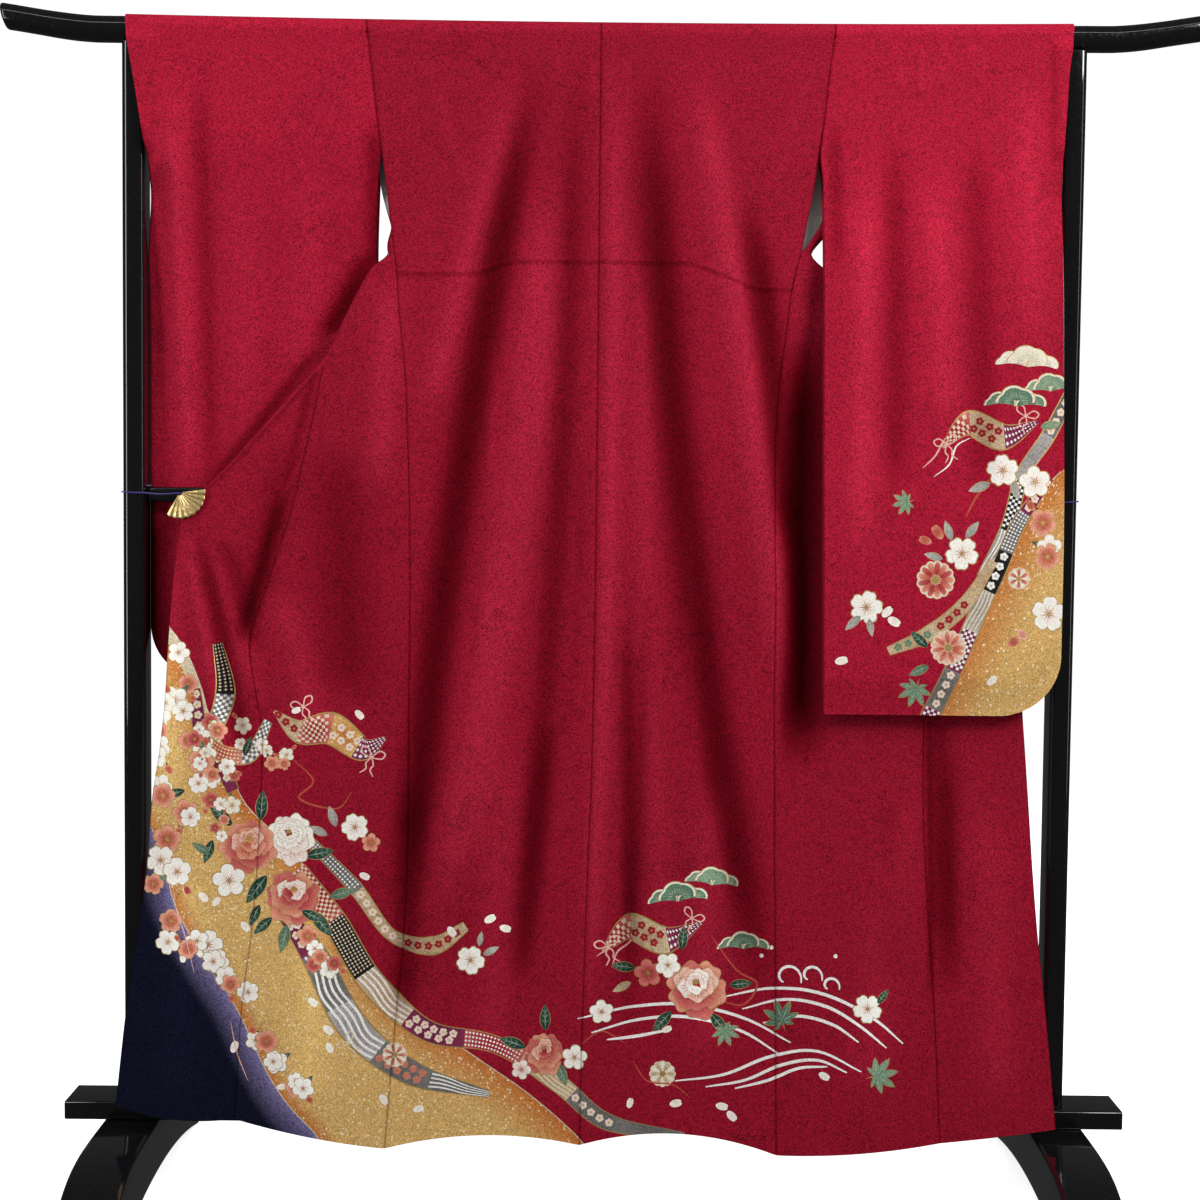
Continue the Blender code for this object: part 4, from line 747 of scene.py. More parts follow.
@dataclass(frozen=True)
class Ink:
    """One dye, thread or leaf, or a painted shade or highlight: its colour at a shape's heart and at its rim, and
    how it is worked.
    """

    heart: Colour
    rim: Optional[Colour] = None
    leaf: float = 0.0
    flake: float = 0.0
    raised: float = 0.0
    power: float = 1.0


CRIMSON = Ink((0.382, 0.0105, 0.033))
GROUND_PAINTED_LIGHT = {"body": 0.8, "sleeve_left": 1.02, "sleeve_right": 1.02}  # painted light on the plain ground: the body painted darker than the sleeves, on which more light falls
# Painted shade in the creases of the tuck's small pleats
PLEAT_SHADE = Ink((0.13, 0.0012, 0.006))
# Painted highlight along a pressed fold crease, lighter than the ground
CREASE_HIGHLIGHT = Ink((0.35, 0.013, 0.038))
PLEATS = (
    -0.262, -0.255, -0.246, -0.19, -0.181, -0.168, -0.157, -0.113, -0.104, -0.094, -0.085, -0.049, -0.041,
    -0.032, -0.018, 0.017, 0.022, 0.047, 0.055, 0.064, 0.205, 0.21, 0.219, 0.226, 0.236)
GOLD_LINE = Ink((0.62, 0.4, 0.14), leaf=0.75, raised=1.0)
PALE_LINE = Ink((0.72, 0.6, 0.42), leaf=0.35, raised=0.6)
WHITE = Ink((0.84, 0.66, 0.54), (0.92, 0.89, 0.82), raised=0.9, power=0.6)
IVORY = Ink((0.74, 0.62, 0.44), (0.86, 0.8, 0.68), raised=0.8)
SNOW = Ink((0.88, 0.85, 0.82), raised=0.8)
CORAL = Ink((0.46, 0.08, 0.048), (0.82, 0.36, 0.25), raised=0.7, power=2.5)
ROSE = Ink((0.34, 0.022, 0.032), (0.66, 0.17, 0.15), raised=0.7, power=2.5)
PEACH = Ink((0.62, 0.2, 0.14), (0.88, 0.58, 0.47), raised=0.7, power=2.0)
BLUSH = Ink((0.78, 0.42, 0.36), (0.9, 0.8, 0.74), raised=0.8)
GREEN = Ink((0.15, 0.26, 0.165), (0.27, 0.37, 0.25), raised=0.4)
PINE = Ink((0.075, 0.16, 0.105), (0.16, 0.26, 0.17), raised=0.4)
DEEP_GREEN = Ink((0.012, 0.045, 0.034), (0.04, 0.105, 0.075), raised=0.4)
VEIN = Ink((0.4, 0.46, 0.32), raised=0.7)
SILVER = Ink((0.3, 0.27, 0.26), (0.48, 0.44, 0.42), raised=0.4)
GREY = Ink((0.145, 0.135, 0.125), (0.215, 0.2, 0.185), raised=0.3)
SOOT = Ink((0.02, 0.017, 0.018), raised=0.3)
PLUM = Ink((0.165, 0.018, 0.06), (0.24, 0.035, 0.085), raised=0.4)
TAN = Ink((0.5, 0.33, 0.18), (0.62, 0.47, 0.3), raised=0.3)
AMBER = Ink((0.56, 0.165, 0.036), (0.69, 0.425, 0.148), flake=1.0, raised=0.35)
HAZE = Ink((0.23, 0.19, 0.38), (0.0065, 0.0075, 0.02), power=0.7)


def segment_distance(points: Array, line: Array) -> Array:
    """Distance of points from a polyline: the least over its segments, each by projection."""
    start, along = line[:-1], np.diff(line, axis=0)
    gap = points[:, None, :] - start[None]
    t = np.clip((gap * along).sum(-1) / (along**2).sum(-1), 0.0, 1.0)
    return np.linalg.norm(gap - t[..., None] * along, axis=-1).min(1)


class Weave(Enum):
    """Small traditional patterns that fill a ribbon."""

    CHECK = "check"
    SPOTS = "spots"
    BLOSSOMS = "blossoms"
    RIPPLES = "ripples"
    PLAIN = "plain"


CHECK, SPOTS, BLOSSOMS, RIPPLES, PLAIN = Weave


@dataclass
class Shape:
    """One closed outline on the flat layout, with its dye and the way its colour fades across it."""

    outline: Array
    ink: Ink
    fade: Optional[Fade] = None


class Artwork:
    """The layout of the dyed design as the viewer sees it, in metres, lower shapes first."""

    def __init__(self, seed: int) -> None:
        """Start with a bare cloth and a seeded source of small irregularities."""
        self.shapes: List[Shape] = []
        self.shift = np.zeros(2)
        self.random = np.random.default_rng(seed)

    def each(self, motif: Callable, *rows: Sequence, **same: object) -> None:
        """Draw a motif once for each row of its values, with the values that are the same in all rows."""
        for row in rows:
            motif(*row, **same)

    def add(self, outline: Array, ink: Ink, fade: Optional[Fade] = None) -> None:
        """Add one outline, moved by the layout's present shift."""
        shift = self.shift
        moved = None if fade is None else (lambda p: fade(p - shift))
        self.shapes.append(Shape(np.asarray(outline, float) + shift, ink, moved))

    def radial(self, outline: Array, ink: Ink, centre: Array, radius: float) -> None:
        """Add an outline whose colour goes from heart to rim with the distance from a centre."""
        self.add(outline, ink, lambda p: np.linalg.norm(p - centre, axis=1) / radius)

    def sliver(self, start: Array, end: Array, width: float, ink: Ink) -> None:
        """Add a thin stroke that tapers to both ends."""
        start, end = np.asarray(start, float), np.asarray(end, float)
        across = unit(np.array([-(end - start)[1], (end - start)[0]])) * width / 2
        middle = start + 0.45 * (end - start)
        self.add(np.array([start, middle + across, end, middle - across]), ink)

    def rays(self, centre: Array, angles: Array, reach: Array, width: float, ink: Ink) -> None:
        """Thin strokes outwards from a centre."""
        for tip in centre + polar(angles, reach):
            self.sliver(centre, tip, width, ink)

    def dot(self, x: float, z: float, radius: float, ink: Ink, corners: int = 8) -> None:
        """A small round spot."""
        self.add(polar(ring(corners), radius) + (x, z), ink)

    def stroke(self, path: Sequence, width: float, ink: Ink, taper: float = 1.0, count: int = 24) -> None:
        """Add a brush line along a smooth path; its width swells by a sine from both ends when tapered."""
        p = through(path, count)
        swell = (1.0 - taper) + taper * np.sin(math.pi * np.linspace(0.03, 0.97, count)) ** 0.6
        offset = sideways(p) * (width / 2 * swell)[:, None]
        self.add(np.vstack([p + offset, (p - offset)[::-1]]), ink)

    def petalled(self, centre: Array, radius: float, petals: int, depth: float, turn: float,
                 notch: float) -> Array:
        """Outline of a flower head: the radius swells by |cos| on each petal and is notched at its tip."""
        angle, half = ring(max(30, petals * 9)), math.pi / petals
        wave = np.abs(np.cos(petals * (angle - turn) / 2))
        off = np.abs((angle - turn + half) % (2 * half) - half)
        swell = 1.0 - depth * (1.0 - wave**0.55) - notch * np.exp(-((off / 0.13) ** 2))
        return centre + polar(angle, radius * swell)

    def blossom(self, x: float, z: float, radius: float, ink: Ink, turn: float, notch: float = 0.0) -> None:
        """A five-petalled blossom with gold outlines, a warm heart and stamens."""
        centre = np.array([x, z])
        self.add(self.petalled(centre, radius * 1.07, 5, 0.38, turn, notch), GOLD_LINE)
        self.radial(self.petalled(centre, radius, 5, 0.41, turn, notch), ink, centre, radius * 0.75)
        self.rays(centre, turn + math.pi / 5 + ring(5), 0.56 * radius, radius * 0.05, GOLD_LINE)
        heart = GOLD_LINE if ink in (ROSE, CORAL) else ROSE
        self.rays(centre, turn + ring(10), 0.36 * radius, radius * 0.045, heart)
        self.dot(x, z, 0.13 * radius, GOLD_LINE)

    def peony(self, x: float, z: float, radius: float, inks: Sequence[Ink], turn: float) -> None:
        """A full flower: rings of separate wavy petals with pale rims, spreading widest below its heart."""
        centre, t = np.array([x, z]), np.linspace(-1.0, 1.0, 15)
        rounds = ((6, 1.0, 0.45), (5, 0.8, 0.35), (5, 0.58, 0.2), (4, 0.38, 0.1))
        for k, (count, reach, foot) in enumerate(rounds):
            middle = centre + np.array([0.03 * math.sin(3.0 * k), 0.045 * k]) * radius
            half = 1.35 * math.pi / count
            for j in range(count):
                ink = inks[(k + (j % 3 == 1)) % len(inks)]
                way = turn + 0.8 * k + 2 * math.pi * (j + self.random.uniform(-0.15, 0.15)) / count
                size = radius * reach * self.random.uniform(0.9, 1.06) * (1.0 - 0.12 * math.sin(way))
                wave = 0.97 - 0.26 * np.abs(t) ** 3 + 0.055 * np.cos(7.0 * t + self.random.uniform(0.0, 6.0))
                arc, base = polar(way + half * t, size * wave), polar(way, foot * radius)
                for grow, dye in ((1.0, GOLD_LINE), (0.955, ink)):
                    petal = np.vstack([base, base + (arc - base) * grow])
                    self.radial(middle + petal, dye, middle, size * 0.97)
                for tip in polar(way + half * np.array([-0.3, 0.0, 0.3]), size):
                    self.sliver(middle + 0.78 * tip, middle + 0.5 * tip, radius * 0.02, ROSE)
        self.rays(centre + (0.0, 0.18 * radius), turn + ring(9), 0.14 * radius, radius * 0.05, GOLD_LINE)

    def daisy(self, x: float, z: float, radius: float, petals: int, inks: Sequence[Ink]) -> None:
        """A round chrysanthemum: one ring of long petals round a gold heart."""
        centre, t = np.array([x, z]), ring(14)
        self.add(self.petalled(centre, radius * 1.06, petals, 0.12, 0.0, 0.0), IVORY)
        half = 0.82 * math.pi / petals * (0.55 + 0.45 * (1 + np.cos(t)) / 2) * np.sin(t)
        petal = radius * np.stack([0.6 + 0.37 * np.cos(t), half], -1)
        for k, angle in enumerate(ring(petals)):
            self.radial(centre + petal @ spin(angle), inks[k % len(inks)], centre, radius)
        self.dot(x, z, 0.24 * radius, GOLD_LINE, 12)

    def leaf(self, x: float, z: float, length: float, angle: float, ink: Ink) -> None:
        """A pointed leaf edged in gold, with a midrib and pairs of veins."""
        foot, axes, t = np.array([x, z]), length * spin(angle), np.linspace(0.0, 1.0, 10)
        half = 0.21 * np.sin(math.pi * t**0.85) ** 0.9
        for grow, dye in ((1.0, GOLD_LINE), (0.86, ink)):
            edge = np.stack([t, half * grow], -1)
            self.radial(foot + np.vstack([edge, edge[-2:0:-1] * (1.0, -1.0)]) @ axes, dye, foot, length)
        self.sliver(foot, foot + (0.95, 0.0) @ axes, length * 0.03, VEIN)
        for share in (0.3, 0.5, 0.7):
            for sign in (-1, 1):
                start, tip = foot + np.array([(share, 0.0), (share + 0.13, sign * 0.1428)]) @ axes
                self.sliver(start, tip, length * 0.018, VEIN)

    def maple(self, x: float, z: float, radius: float, turn: float, ink: Ink) -> None:
        """A maple leaf: seven pointed lobes of differing length about its stalk, edged and veined."""
        centre = np.array([x, z])
        tips = turn + np.radians([-126, -84, -42, 0, 42, 84, 126])
        long = np.array([0.58, 0.84, 0.98, 1.0, 0.98, 0.84, 0.58])
        lobes = tips[:, None] + (-0.29, -0.15, 0.0, 0.15, 0.29)
        angles = np.concatenate([lobes.ravel(), tips[:-1] + math.radians(21), [turn + math.pi]])
        order = np.argsort(angles)
        for grow, dye in ((1.06, GOLD_LINE), (0.97, ink)):
            reach = long[:, None] * (0.6, 0.8, 1.0, 0.8, 0.6) * grow
            lengths = np.concatenate([reach.ravel(), np.full(6, 0.46), [0.16]]) * radius
            self.radial(centre + polar(angles[order], lengths[order]), dye, centre, radius)
        self.rays(centre, tips, 0.86 * long * radius, radius * 0.035, VEIN)
        self.rays(centre, np.array([turn + math.pi]), 0.55 * radius, radius * 0.07, GOLD_LINE)

    def pine(self, x: float, z: float, width: float, ink: Ink, tilt: float) -> None:
        """A pine bough: three overlapping low scalloped clouds, each with needles that fan up from its foot."""
        place, turn = np.array([x, z]), spin(tilt)
        t, low = np.linspace(0.0, math.pi, 30), np.linspace(-1.0, 1.0, 9)[1:-1]
        rim = polar(t, 0.95 + 0.15 * np.abs(np.sin(2.5 * t)) ** 0.7) * (1.0, 0.86)
        cloud = np.vstack([rim, np.stack([low, 0.16 * (1.0 - low**2)], -1)])
        for shift, lift, share in ((-0.27, 0.0, 0.5), (0.27, -0.01, 0.5), (0.0, 0.05, 0.62)):
            foot, half = np.array([shift, lift]) * width, share * width / 2
            for grow, dye in ((1.1, GOLD_LINE), (1.05, IVORY), (0.93, ink)):
                self.radial((cloud * half * grow + foot) @ turn + place, dye, place, width * 0.55)
            for needle in polar(np.radians(np.linspace(14, 166, 11))) * (1.0, 0.84) * half * 0.86:
                start = foot + 0.22 * needle + (0.0, 0.03 * width)
                self.sliver(start @ turn + place, (foot + needle) @ turn + place, width * 0.013, VEIN)

    def bow(self, x: float, z: float, size: float, tilt: float, ink: Ink) -> None:
        """A cord bow: two loops and two tails, drawn as brush lines turned by the tilt."""
        loop = ((0.0, 0.0), (0.45, 0.62), (0.95, 0.55), (0.8, 0.1), (0.05, -0.05))
        tail = ((0.0, 0.0), (0.3, -0.55), (0.18, -1.0), (0.55, -1.45))
        for side in (-1, 1):
            for path in (loop, tail):
                self.stroke(np.array(path) * (side, 1) * size @ spin(tilt) + (x, z), size * 0.13, ink, 0.5, 16)
        self.dot(x, z, size * 0.16, ink)

    def petal(self, x: float, z: float, length: float, angle: float, ink: Ink) -> None:
        """One fallen petal, notched at its tip."""
        t = ring(16)
        r = 1.0 - 0.22 * np.exp(-(((t + math.pi) % (2 * math.pi) - math.pi) / 0.35) ** 2)
        flat = polar(t, r) * (length / 2, length * 0.29)
        self.radial(flat @ spin(angle) + (x, z), ink, np.array([x, z]), length * 0.5)

    def ribbon(self, path: Sequence, widths: Sequence[float], parts: Sequence[Tuple[Weave, Ink, Ink]]) -> None:
        """A ribbon along a smooth path, edged in gold, whose parts are filled with small patterns.

        Args:
            path: points that the ribbon's middle line passes through.
            widths: its width at evenly spaced shares of its length.
            parts: for each equal part, the pattern, its ground and its figures' dye.
        """
        p = through(path, 72)
        length, across = travelled(p), sideways(p)
        half = np.interp(np.linspace(0, 1, len(p)), np.linspace(0, 1, len(widths)), widths) / 2

        def place(u: Array, w: Array) -> Array:
            """Point at length u along the ribbon and share w, from -1 to 1, across it."""
            u, w = np.broadcast_arrays(u, w)
            base, side = (np.stack([np.interp(u, length, q[:, k]) for k in (0, 1)], -1) for q in (p, across))
            return base + side * (np.interp(u, length, half) * w)[..., None]

        ends, edge = np.linspace(0.0, length[-1], len(parts) + 1), 1.0 + 0.0011 / half.max()
        self.add(np.vstack([place(length, edge), place(length[::-1], -edge)]), GOLD_LINE)
        for (weave, ground, figure), start, end in zip(parts, ends[:-1], ends[1:]):
            u, middle = np.linspace(start, end, 12), (start + end) / 2
            outline = np.vstack([place(u, 0.95), place(u[::-1], -0.95)])
            self.radial(outline, ground, place(middle, 0.0), (end - start) * 0.6)
            self.fill(weave, figure, place, start, end, float(np.interp(middle, length, half)))

    def fill(self, weave: Weave, ink: Ink, place: Callable, start: float, end: float, half: float) -> None:
        """Fill one part of a ribbon with its pattern, laid out along and across the ribbon."""
        if weave is RIPPLES:
            u = np.linspace(start, end, 22)
            for w in (-0.66, -0.22, 0.22, 0.66):
                bend = w + 0.16 * np.sin((u - start) / 0.013)
                self.add(np.vstack([place(u, bend + 0.09), place(u[::-1], bend[::-1] - 0.09)]), ink)
        if weave in (RIPPLES, PLAIN):
            return
        size = {CHECK: 0.0042, SPOTS: 0.005, BLOSSOMS: 0.015}[weave]
        lanes = max(1, round(2 * half * 0.86 / size))
        square, lozenge = ((-1, -1), (1, -1), (1, 1), (-1, 1)), ((-1, 0), (0, -1), (1, 0), (0, 1))
        corner = np.array(square) * 0.94 if weave is CHECK else np.array(lozenge)
        reach = (0.5 if weave is CHECK else 0.36) * size
        for k, lane in np.ndindex(int((end - start) / size), lanes):
            u, w = start + (k + 0.5) * size, (lane + 0.5) / lanes * 1.8 - 0.9
            if weave is BLOSSOMS:
                spot = place(u + 0.3 * size * (lane % 2), w * 0.8)
                self.add(self.petalled(spot, size * 0.4, 5, 0.34, 0.7 * k, 0.0), ink)
                self.dot(*spot, size * 0.1, GOLD_LINE, 6)
            elif weave is SPOTS or (k + lane) % 2 == 0:
                self.add(place(u + reach * corner[:, 0], w + reach / half * corner[:, 1]), ink)

    def garland(self, path: Sequence, count: int, spread: float, sizes: Sequence[float],
                inks: Sequence[Ink]) -> None:
        """Blossoms scattered along a path, with buds and small leaves between them."""
        p = through(path, count)
        for k, foot in enumerate(p + self.random.normal(0.0, spread, p.shape)):
            size, turn = self.random.uniform(*sizes), self.random.uniform(0.0, 2 * math.pi)
            if k % 4 == 2:
                self.leaf(*foot, size * 1.5, turn, DEEP_GREEN)
            if k % 3 == 1:
                bud = foot + polar(turn, size * 1.5)
                self.stroke([foot, (bud + foot) / 2 + size * 0.2, bud], size * 0.1, SOOT, 0.5, 8)
                self.petal(*bud, size * 0.85, turn, CORAL)
            self.blossom(*foot, size, inks[k % len(inks)], turn, 0.1 * (k % 2))


def body_artwork() -> Artwork:
    """The design of the body: dyed zones low on the left, sprays and streams of flowers on the right.

    Returns:
        The layout, in metres as the viewer sees it.
    """
    art = Artwork(11)
    shore = through([
        (-0.66, 0.83), (-0.615, 0.8), (-0.57, 0.728), (-0.535, 0.655), (-0.505, 0.575), (-0.435, 0.505),
        (-0.38, 0.43), (-0.325, 0.345), (-0.255, 0.268), (-0.165, 0.21), (-0.08, 0.15), (-0.01, 0.085),
        (0.02, 0.03)], 60)
    bank = through([
        (-0.72, 0.6), (-0.635, 0.533), (-0.6, 0.424), (-0.555, 0.348), (-0.521, 0.294), (-0.5, 0.255),
        (-0.466, 0.184), (-0.433, 0.136), (-0.395, 0.095), (-0.36, 0.03)], 60)
    corner, side = [(-0.4, 0.0), (-0.8, 0.0), (-0.8, 0.6)], [(-0.8, 0.0), (-0.8, 0.85)]
    art.add(np.vstack([shore + (0.0011, 0.0011), side]), PALE_LINE)
    art.add(np.vstack([shore, side]), AMBER, lambda p: segment_distance(p, shore) / 0.058)
    art.add(np.vstack([bank + (0.024, 0.012), corner]), AMBER, lambda p: segment_distance(p, bank) / 0.024)
    art.add(np.vstack([bank + (0.0014, 0.001), corner]), PALE_LINE)
    art.add(np.vstack([bank, corner]), HAZE, lambda p: segment_distance(p, bank) / 0.04)
    # painted shade in the small pleats that the tuck's stitches draw up
    for x in PLEATS:
        top = tuck_line(np.array(x)) + 0.0005
        art.sliver((x, top), (x + 0.0012, top - 0.0045 - 0.35 * abs(x % 0.011)), 0.0017, PLEAT_SHADE)
    # a pressed fold crease across the left front, drawn as a lighter line: painted highlight
    art.stroke(((-0.486, 0.864), (-0.4, 0.862), (-0.29, 0.8655)), 0.0008, CREASE_HIGHLIGHT)
    # a broad pale band along the top of the dyed shore
    art.stroke([(-0.648, 0.85), (-0.606, 0.802), (-0.578, 0.748), (-0.56, 0.7)], 0.016, PALE_LINE, 0.7)
    # ribbons that float down from the flowers on the left
    art.each(
        art.ribbon,
        (
            [(-0.545, 0.8), (-0.532, 0.73), (-0.548, 0.66), (-0.52, 0.59)], (0.012, 0.026, 0.022, 0.018),
            [(SPOTS, SOOT, IVORY), (CHECK, GREY, SNOW), (BLOSSOMS, PLUM, WHITE)]),
        (
            [(-0.575, 0.735), (-0.56, 0.66), (-0.5, 0.64), (-0.47, 0.69)], (0.014, 0.024, 0.022, 0.012),
            [(BLOSSOMS, PLUM, IVORY), (SPOTS, CORAL, IVORY), (CHECK, GREY, SNOW)]),
        (
            [(-0.455, 0.43), (-0.4, 0.355), (-0.345, 0.255), (-0.262, 0.19), (-0.15, 0.16)],
            (0.018, 0.038, 0.044, 0.036, 0.01),
            [
                (BLOSSOMS, PLUM, WHITE), (RIPPLES, GREY, SNOW), (RIPPLES, SILVER, SNOW),
                (BLOSSOMS, GREY, PEACH), (RIPPLES, GREY, SNOW)]),
        (
            [
                (-0.425, 0.48), (-0.372, 0.405), (-0.318, 0.318), (-0.238, 0.25), (-0.14, 0.232),
                (-0.05, 0.176), (0.02, 0.122), (0.13, 0.104)],
            (0.022, 0.034, 0.036, 0.03, 0.024, 0.026, 0.024, 0.008),
            [
                (CHECK, ROSE, IVORY), (SPOTS, SOOT, IVORY), (RIPPLES, TAN, SNOW), (BLOSSOMS, PLUM, WHITE),
                (SPOTS, ROSE, SNOW), (RIPPLES, TAN, IVORY), (BLOSSOMS, GREY, WHITE), (PLAIN, GREY, GREY)]),
        (
            [(-0.41, 0.52), (-0.345, 0.455), (-0.29, 0.385), (-0.232, 0.372), (-0.185, 0.4)],
            (0.014, 0.02, 0.016, 0.026, 0.014),
            [(SPOTS, GREY, SNOW), (BLOSSOMS, TAN, WHITE), (BLOSSOMS, TAN, ROSE)]))
    # a diapered cloud band with cord bows, and sprays round the large flowers
    art.stroke([(-0.44, 0.64), (-0.405, 0.606), (-0.425, 0.58), (-0.372, 0.566), (-0.35, 0.59)], 0.003, CORAL)
    art.ribbon(
        [(-0.462, 0.704), (-0.425, 0.676), (-0.38, 0.68), (-0.335, 0.652), (-0.302, 0.668)],
        (0.004, 0.034, 0.046, 0.034, 0.004),
        [(BLOSSOMS, TAN, ROSE), (CHECK, ROSE, IVORY), (BLOSSOMS, AMBER, WHITE), (SPOTS, PLUM, SNOW)])
    art.each(art.bow, (-0.42, 0.712, 0.017, 0.4, BLUSH), (-0.322, 0.64, 0.018, -0.3, BLUSH))
    art.each(
        art.leaf, (-0.52, 0.54, 0.046, 2.4, DEEP_GREEN), (-0.48, 0.548, 0.044, 1.5, DEEP_GREEN),
        (-0.47, 0.47, 0.05, -2.2, DEEP_GREEN), (-0.415, 0.498, 0.042, 0.2, DEEP_GREEN),
        (-0.405, 0.42, 0.046, -0.9, DEEP_GREEN), (-0.505, 0.47, 0.04, -2.6, PINE),
        (-0.38, 0.44, 0.038, 0.3, PINE), (-0.44, 0.4, 0.042, -1.8, PINE),
        (-0.462, 0.41, 0.036, -2.4, DEEP_GREEN), (-0.372, 0.54, 0.032, 1.9, SILVER),
        (-0.384, 0.528, 0.03, 2.7, SILVER))
    art.garland(
        [(-0.6, 0.77), (-0.596, 0.69), (-0.56, 0.62), (-0.585, 0.56)], 12, 0.012, (0.013, 0.02),
        (WHITE, CORAL, WHITE))
    art.each(
        art.peony, (-0.44, 0.526, 0.038, (WHITE, BLUSH, WHITE, WHITE), 1.0),
        (-0.496, 0.515, 0.043, (CORAL, ROSE, CORAL, PEACH), 0.4),
        (-0.432, 0.444, 0.041, (ROSE, CORAL, ROSE, BLUSH), 0.1))
    art.blossom(-0.524, 0.462, 0.024, WHITE, 0.5)
    art.each(
        art.garland,
        (
            [(-0.57, 0.7), (-0.53, 0.69), (-0.51, 0.64), (-0.545, 0.61)], 9, 0.01, (0.008, 0.014),
            (WHITE, ROSE, WHITE, CORAL, IVORY)),
        (
            [(-0.484, 0.66), (-0.47, 0.632), (-0.452, 0.65), (-0.44, 0.622)], 6, 0.006, (0.009, 0.013),
            (WHITE, IVORY, CORAL)))
    art.each(
        art.leaf, (-0.56, 0.65, 0.03, 2.4, PINE), (-0.588, 0.59, 0.032, 3.4, DEEP_GREEN),
        (-0.548, 0.52, 0.036, -1.9, DEEP_GREEN), (-0.6, 0.48, 0.03, -2.5, PINE), (-0.552, 0.5, 0.03, 2.6, PINE),
        (-0.505, 0.64, 0.03, 1.2, DEEP_GREEN), (-0.42, 0.42, 0.036, -0.4, DEEP_GREEN),
        (-0.48, 0.428, 0.034, -2.0, DEEP_GREEN))
    art.each(
        art.garland,
        (
            [(-0.64, 0.77), (-0.628, 0.712), (-0.622, 0.65), (-0.618, 0.585)], 10, 0.007, (0.015, 0.021),
            (WHITE, CORAL, WHITE, WHITE)),
        (
            [(-0.575, 0.655), (-0.556, 0.6), (-0.54, 0.56), (-0.548, 0.52)], 10, 0.01, (0.008, 0.014),
            (ROSE, WHITE, IVORY, CORAL)))
    art.each(
        art.blossom, (-0.613, 0.52, 0.021, CORAL, 0.2), (-0.622, 0.49, 0.022, WHITE, 0.9),
        (-0.598, 0.474, 0.021, WHITE, 0.4), (-0.632, 0.456, 0.015, CORAL, 1.3),
        (-0.606, 0.404, 0.017, CORAL, 0.3), (-0.61, 0.374, 0.018, WHITE, 0.8),
        (-0.553, 0.37, 0.022, WHITE, 0.1), (-0.541, 0.346, 0.019, WHITE, 1.1), notch=0.08)
    art.each(
        art.petal, (-0.65, 0.468, 0.017, 0.3, CORAL), (-0.583, 0.448, 0.014, -1.0, ROSE),
        (-0.58, 0.38, 0.013, -0.6, ROSE), (-0.588, 0.352, 0.016, -1.6, WHITE),
        (-0.538, 0.318, 0.014, -1.3, ROSE), (-0.56, 0.438, 0.018, -0.8, WHITE),
        (-0.542, 0.432, 0.016, 0.9, WHITE), (-0.5, 0.396, 0.018, -0.9, WHITE),
        (-0.402, 0.29, 0.017, -0.7, WHITE), (-0.378, 0.224, 0.017, -1.1, WHITE),
        (-0.514, 0.225, 0.019, 1.2, WHITE), (-0.446, 0.168, 0.015, 0.2, WHITE))
    art.stroke([(-0.585, 0.44), (-0.568, 0.38), (-0.54, 0.32), (-0.52, 0.3)], 0.0022, TAN)
    art.garland(
        [(-0.58, 0.385), (-0.552, 0.345), (-0.52, 0.318), (-0.492, 0.3)], 6, 0.008, (0.013, 0.018),
        (WHITE, CORAL, WHITE))
    art.stroke([(-0.505, 0.3), (-0.47, 0.24), (-0.44, 0.19), (-0.42, 0.14)], 0.0022, TAN)
    art.each(
        art.garland,
        ([(-0.478, 0.242), (-0.452, 0.205), (-0.42, 0.172)], 7, 0.011, (0.012, 0.018), (WHITE, CORAL, WHITE)),
        ([(-0.425, 0.375), (-0.395, 0.345), (-0.372, 0.36)], 6, 0.01, (0.01, 0.016), (CORAL, WHITE, ROSE)))
    art.each(
        art.stroke, ([(-0.604, 0.455), (-0.598, 0.42), (-0.586, 0.385), (-0.572, 0.33)], 0.0016, BLUSH),
        ([(-0.52, 0.26), (-0.51, 0.215), (-0.494, 0.175)], 0.0016, BLUSH))
    art.bow(-0.352, 0.232, 0.015, 0.8, IVORY)
    art.each(art.blossom, (-0.345, 0.54, 0.02, WHITE, 0.7, 0.1), (-0.322, 0.518, 0.013, CORAL, 0.2))
    art.daisy(-0.285, 0.215, 0.017, 14, (CORAL, IVORY))
    art.blossom(-0.178, 0.352, 0.021, WHITE, 1.1, 0.1)
    art.each(art.leaf, (-0.16, 0.36, 0.026, 0.5, SILVER), (-0.166, 0.372, 0.022, 1.4, SILVER))
    # the small spray on the lower back
    art.each(
        art.leaf, (-0.098, 0.228, 0.04, 2.8, DEEP_GREEN), (-0.07, 0.252, 0.038, 1.6, DEEP_GREEN),
        (-0.052, 0.206, 0.036, -1.2, PINE))
    art.peony(-0.072, 0.222, 0.031, (ROSE, CORAL, ROSE, PEACH), 0.8)
    art.each(art.blossom, (-0.028, 0.214, 0.018, WHITE, 0.2), (-0.104, 0.196, 0.014, BLUSH, 1.2))
    art.stroke([(-0.02, 0.232), (0.01, 0.252), (0.044, 0.236)], 0.0024, CORAL)
